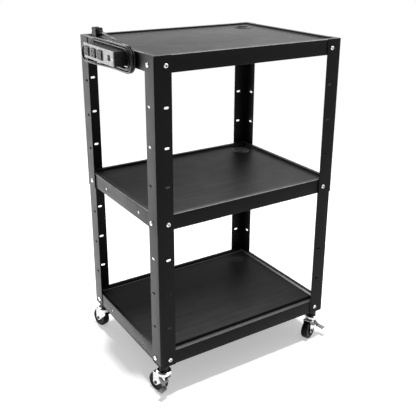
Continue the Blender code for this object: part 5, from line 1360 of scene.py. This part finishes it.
finish_piece("switch_rocker", rocker, matt_black, "rocker_switch", "switch", edge=0.0004)

# A tapered rubber gland at the strip's rear end holds the cord, ribbed so that it bends evenly.
GLAND_TIP = 0.0044
GLAND_FLANGE = 0.0025
GLAND_RIBS = 5
GLAND_GROOVE = 0.0009
gland_x, _, gland_z = middle("cord_gland")
length = gland_high.y - gland_low.y
root = (gland_high.x - gland_low.x) / 2
eased_root = root - SMALL_EDGE
profile = [(0.0, 0.0), (eased_root, 0.0), (root, SMALL_EDGE), (root, GLAND_FLANGE - SMALL_EDGE)]
profile.append((eased_root, GLAND_FLANGE))
step = (length - GLAND_FLANGE - 0.001) / GLAND_RIBS
for i in range(GLAND_RIBS):
    base = GLAND_FLANGE + step * i
    radius = root * 0.8 + (GLAND_TIP - root * 0.8) * i / GLAND_RIBS
    groove = radius - GLAND_GROOVE
    profile += [(radius, base + 0.0002), (radius - 0.0002, base + step * 0.6)]
    profile += [(groove, base + step * 0.68), (groove, base + step * 0.95)]
profile += [(GLAND_TIP, length - 2 * SMALL_EDGE), (GLAND_TIP - SMALL_EDGE, length), (0.0, length)]
gland_black = moulded_black("gland_rubber", (0.014, 0.014, 0.014), (0.022, 0.022, 0.022), 0.55, 1600.0)
gland = placed(turned_about_z(profile, 48), Matrix.Translation((gland_x, gland_low.y, gland_z)) @ z_to_y)
finish_piece("ribbed_gland", gland, gland_black, "cord_gland")

# The plug is moulded on to the cord's end: a ribbed relief, a body waisted for the fingers, two flat blades
# and a round earth pin, nickel plated.
RELIEF_LENGTH = 0.014
RELIEF_RADIUS = 0.0045
RELIEF_PITCH = 0.0031
PLUG_SHOULDER = 0.009
PLUG_CORNER = 0.0035
PLUG_WAIST = 0.0008
PLUG_EDGE = 0.0012


def plug_moulding():
    """Rounded sections joined along the plug, from the relief to the face with the prongs."""
    plug_x, _, plug_z = middle("plug_body")
    half_x = (plug_high.x - plug_low.x) / 2
    half_z = (plug_high.z - plug_low.z) / 2
    length = plug_high.y - plug_low.y
    radius = RELIEF_RADIUS
    stations = [(0.0, radius, radius, radius)]
    for i in range(4):
        for along, shrink in ((0.0, 0.0), (0.0018, 0.0), (0.0020, 0.0008), (0.0029, 0.0008)):
            ring = radius - shrink
            stations.append((0.001 + i * RELIEF_PITCH + along, ring, ring, ring))
    for i in range(9):
        grow = eased(i / 8, 0.0, 1.0)
        sizes = [radius + (full - radius) * grow for full in (half_x, half_z, PLUG_CORNER)]
        stations.append((RELIEF_LENGTH + PLUG_SHOULDER * i / 8, *sizes))
    body_start = RELIEF_LENGTH + PLUG_SHOULDER
    body_end = length - PLUG_EDGE
    for i in range(1, 13):
        waist = PLUG_WAIST * math.sin(math.pi * i / 12)
        along = body_start + (body_end - body_start) * i / 12
        stations.append((along, half_x - waist, half_z - waist, PLUG_CORNER))
    stations.append((length - 0.0004, half_x - 0.0004, half_z - 0.0004, 0.0033))
    stations.append((length, half_x - PLUG_EDGE, half_z - PLUG_EDGE, 0.0026))
    rings = []
    for along, wide, high, corner in stations:
        outline = rectangle(wide, high, min(corner, wide - 0.00002, high - 0.00002), 8)
        rings.append([(x + plug_x, along + plug_low.y, z + plug_z) for x, z in outline])
    return lofted(rings)


plug_black = moulded_black("plug_vinyl", (0.008, 0.008, 0.008), (0.014, 0.014, 0.014), 0.42, 1800.0, 0.07)
on_the_plug = [finish_piece("moulded_plug", plug_moulding(), plug_black, "plug_body")]
# Nickel over brass: warm silver, yellower where it is worn thin, with a fine grain.
nickel = surface(
    "nickel_plate",
    [(0.74, 0.72, 0.66), (0.66, 0.58, 0.42)],
    (0.35, 0.7, 500.0, 3.0, 0.6, 2.0),
    (0.18, 0.36),
    (0.3, 0.7, 1200.0),
    [(0.1, 0.00005, 4000.0)],
    metallic=1.0,
)
for node in ("plug_blade_lower", "plug_blade_upper"):
    low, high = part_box(node)
    tip = high.y - 0.0018
    outline = [(low.x, low.y), (high.x, low.y), (high.x, tip), (high.x - 0.0010, high.y)]
    outline += [(low.x + 0.0010, high.y), (low.x, tip)]
    eye = extruded(circle(0.0016, 20, middle(node)[0], high.y - 0.0045), low.z - 0.001, high.z + 0.001)
    blade = shaped(extruded(outline, low.z, high.z), eye)
    on_the_plug.append(finish_piece(f"nickel_{node}", blade, nickel, node, edge=0.0002))
low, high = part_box("plug_earth_pin")
x, _, z = middle("plug_earth_pin")
radius = (high.x - low.x) / 2
shoulder = high.y - low.y - radius
profile = [(0.0, 0.0), (radius, 0.0)] + arc(0.0, shoulder, radius, radius, 0.0, 90.0, 6)
earth_pin = placed(turned_about_z(profile, 32), Matrix.Translation((x, low.y, z)) @ z_to_y)
on_the_plug.append(finish_piece("nickel_plug_earth_pin", earth_pin, nickel, "plug_earth_pin"))

# A plain white floor that keeps the cart's soft shadow and fades out into a white surround.
FLOOR_RADIUS = 3.2
FLOOR_FADE_START = 1.3
FLOOR_FADE_END = 3.04
FLOOR_WHITENESS = 0.40
floor_bm = bmesh.new()
floor_bm.faces.new([floor_bm.verts.new((x, y, 0.0)) for x, y in circle(FLOOR_RADIUS, 96)])
studio_floor = in_scene("studio_floor", plain_mesh("studio_floor", floor_bm))
paint = Paint(bpy.data.materials.new("studio_floor"))
paint.set("Base Color", (0.82, 0.82, 0.82))
paint.set("Roughness", 0.9)
paint.set("Specular IOR Level", 0.0)
paint.set("Emission Color", (1.0, 1.0, 1.0))
ray = paint.tree.nodes.new("ShaderNodeLightPath").outputs
seen = paint.math("MAXIMUM", ray["Is Camera Ray"], ray["Is Glossy Ray"])
seen = paint.math("MAXIMUM", seen, ray["Is Transmission Ray"])
paint.set("Emission Strength", paint.math("MULTIPLY", seen, FLOOR_WHITENESS))
distance = add_node(paint.tree, "ShaderNodeVectorMath", {0: paint.place}, operation="LENGTH")
clear = paint.tree.nodes.new("ShaderNodeBsdfTransparent").outputs["BSDF"]
fade = paint.graded(distance.outputs["Value"], FLOOR_FADE_START, FLOOR_FADE_END)
blend = add_node(paint.tree, "ShaderNodeMixShader", {0: fade, 1: paint.shader.outputs["BSDF"], 2: clear})
feed(paint.tree, paint.tree.nodes["Material Output"].inputs["Surface"], blend.outputs["Shader"])
studio_floor.data.materials.append(paint.owner)
studio_floor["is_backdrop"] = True

# Studio light: a broad lamp all but straight overhead, whose shadow lies under the cart, and four
# reflectors that only show as sheen. A tall softbox and a low card are for the left faces, and two high
# ones for the rounded edges and the cord.
OVERHEAD_STRENGTH = 2.8
OVERHEAD_ANGLE = 4.0
OVERHEAD_PLACE = (0.0, 0.0, 3.0)
OVERHEAD_AIM = (0.002, 0.008, -1.0)
REFLECTORS = {
    "rear_left_softbox": ((-1.30, 1.52, 0.70), (-0.30, 0.0, 0.60), (1.1, 1.4), 24.0),
    "left_low_card": ((-0.945, 0.50, 0.105), (-0.945, 0.50, 1.0), (1.30, 1.9), 17.0),
    "rear_top_softbox": ((-0.55, 2.00, 2.05), (-0.20, 0.0, 0.80), (1.6, 0.8), 26.0),
    "right_top_softbox": ((1.50, -0.50, 2.70), (0.0, 0.0, 0.80), (1.4, 1.0), 26.0),
}


def lamp(name, kind, strength, place, aim):
    """A lamp at a place, its light thrown along the aim."""
    light = bpy.data.lights.new(name, kind)
    light.energy = strength
    holder = in_scene(name, light)
    holder.location = place
    holder.rotation_euler = Vector(aim).to_track_quat("-Z", "Y").to_euler()
    return light, holder


overhead, _ = lamp("overhead_lamp", "SUN", OVERHEAD_STRENGTH, OVERHEAD_PLACE, OVERHEAD_AIM)
overhead.angle = math.radians(OVERHEAD_ANGLE)
for name, (place, target, size, strength) in REFLECTORS.items():
    reflector, holder = lamp(name, "AREA", strength, place, Vector(target) - Vector(place))
    reflector.shape = "RECTANGLE"
    reflector.size, reflector.size_y = size
    holder.visible_camera = False
    holder.visible_diffuse = False

# The surround is white to the camera and, up to a low height, to anything that mirrors it. Above that it
# mirrors as a dim studio with a bright right side. It lights everything else evenly.
SURROUND_FILL = 0.38
STUDIO_DIM = 0.12
STUDIO_BRIGHT = 1.9
BRIGHT_SIDE = (0.966, -0.259, 0.0)
BACKDROP_TOP = 0.06
BACKDROP_FADE = 0.16
surround = bpy.data.worlds.new("studio_surround")
bpy.context.scene.world = surround
sky = Paint(surround, "Background", "Generated")
sky.set("Color", (1.0, 1.0, 1.0))
above = sky.axes(sky.place)["Z"]
backdrop = sky.graded(above, BACKDROP_TOP, BACKDROP_TOP + BACKDROP_FADE, 1.0, 0.0)
towards = {0: sky.place, 1: BRIGHT_SIDE}
to_right = add_node(sky.tree, "ShaderNodeVectorMath", towards, operation="DOT_PRODUCT").outputs["Value"]
studio = sky.graded(to_right, 0.08, 0.55, STUDIO_DIM, STUDIO_BRIGHT)
ray = sky.tree.nodes.new("ShaderNodeLightPath").outputs
mirrored_light = sky.mixed(backdrop, studio, 1.0, "FLOAT")
light = sky.mixed(ray["Is Glossy Ray"], SURROUND_FILL, mirrored_light, "FLOAT")
light = sky.mixed(ray["Is Transmission Ray"], light, 1.0, "FLOAT")
sky.set("Strength", sky.mixed(ray["Is Camera Ray"], light, 1.0, "FLOAT"))
bpy.context.scene.view_settings.view_transform = "Standard"

# The visual model's box.
low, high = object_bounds()
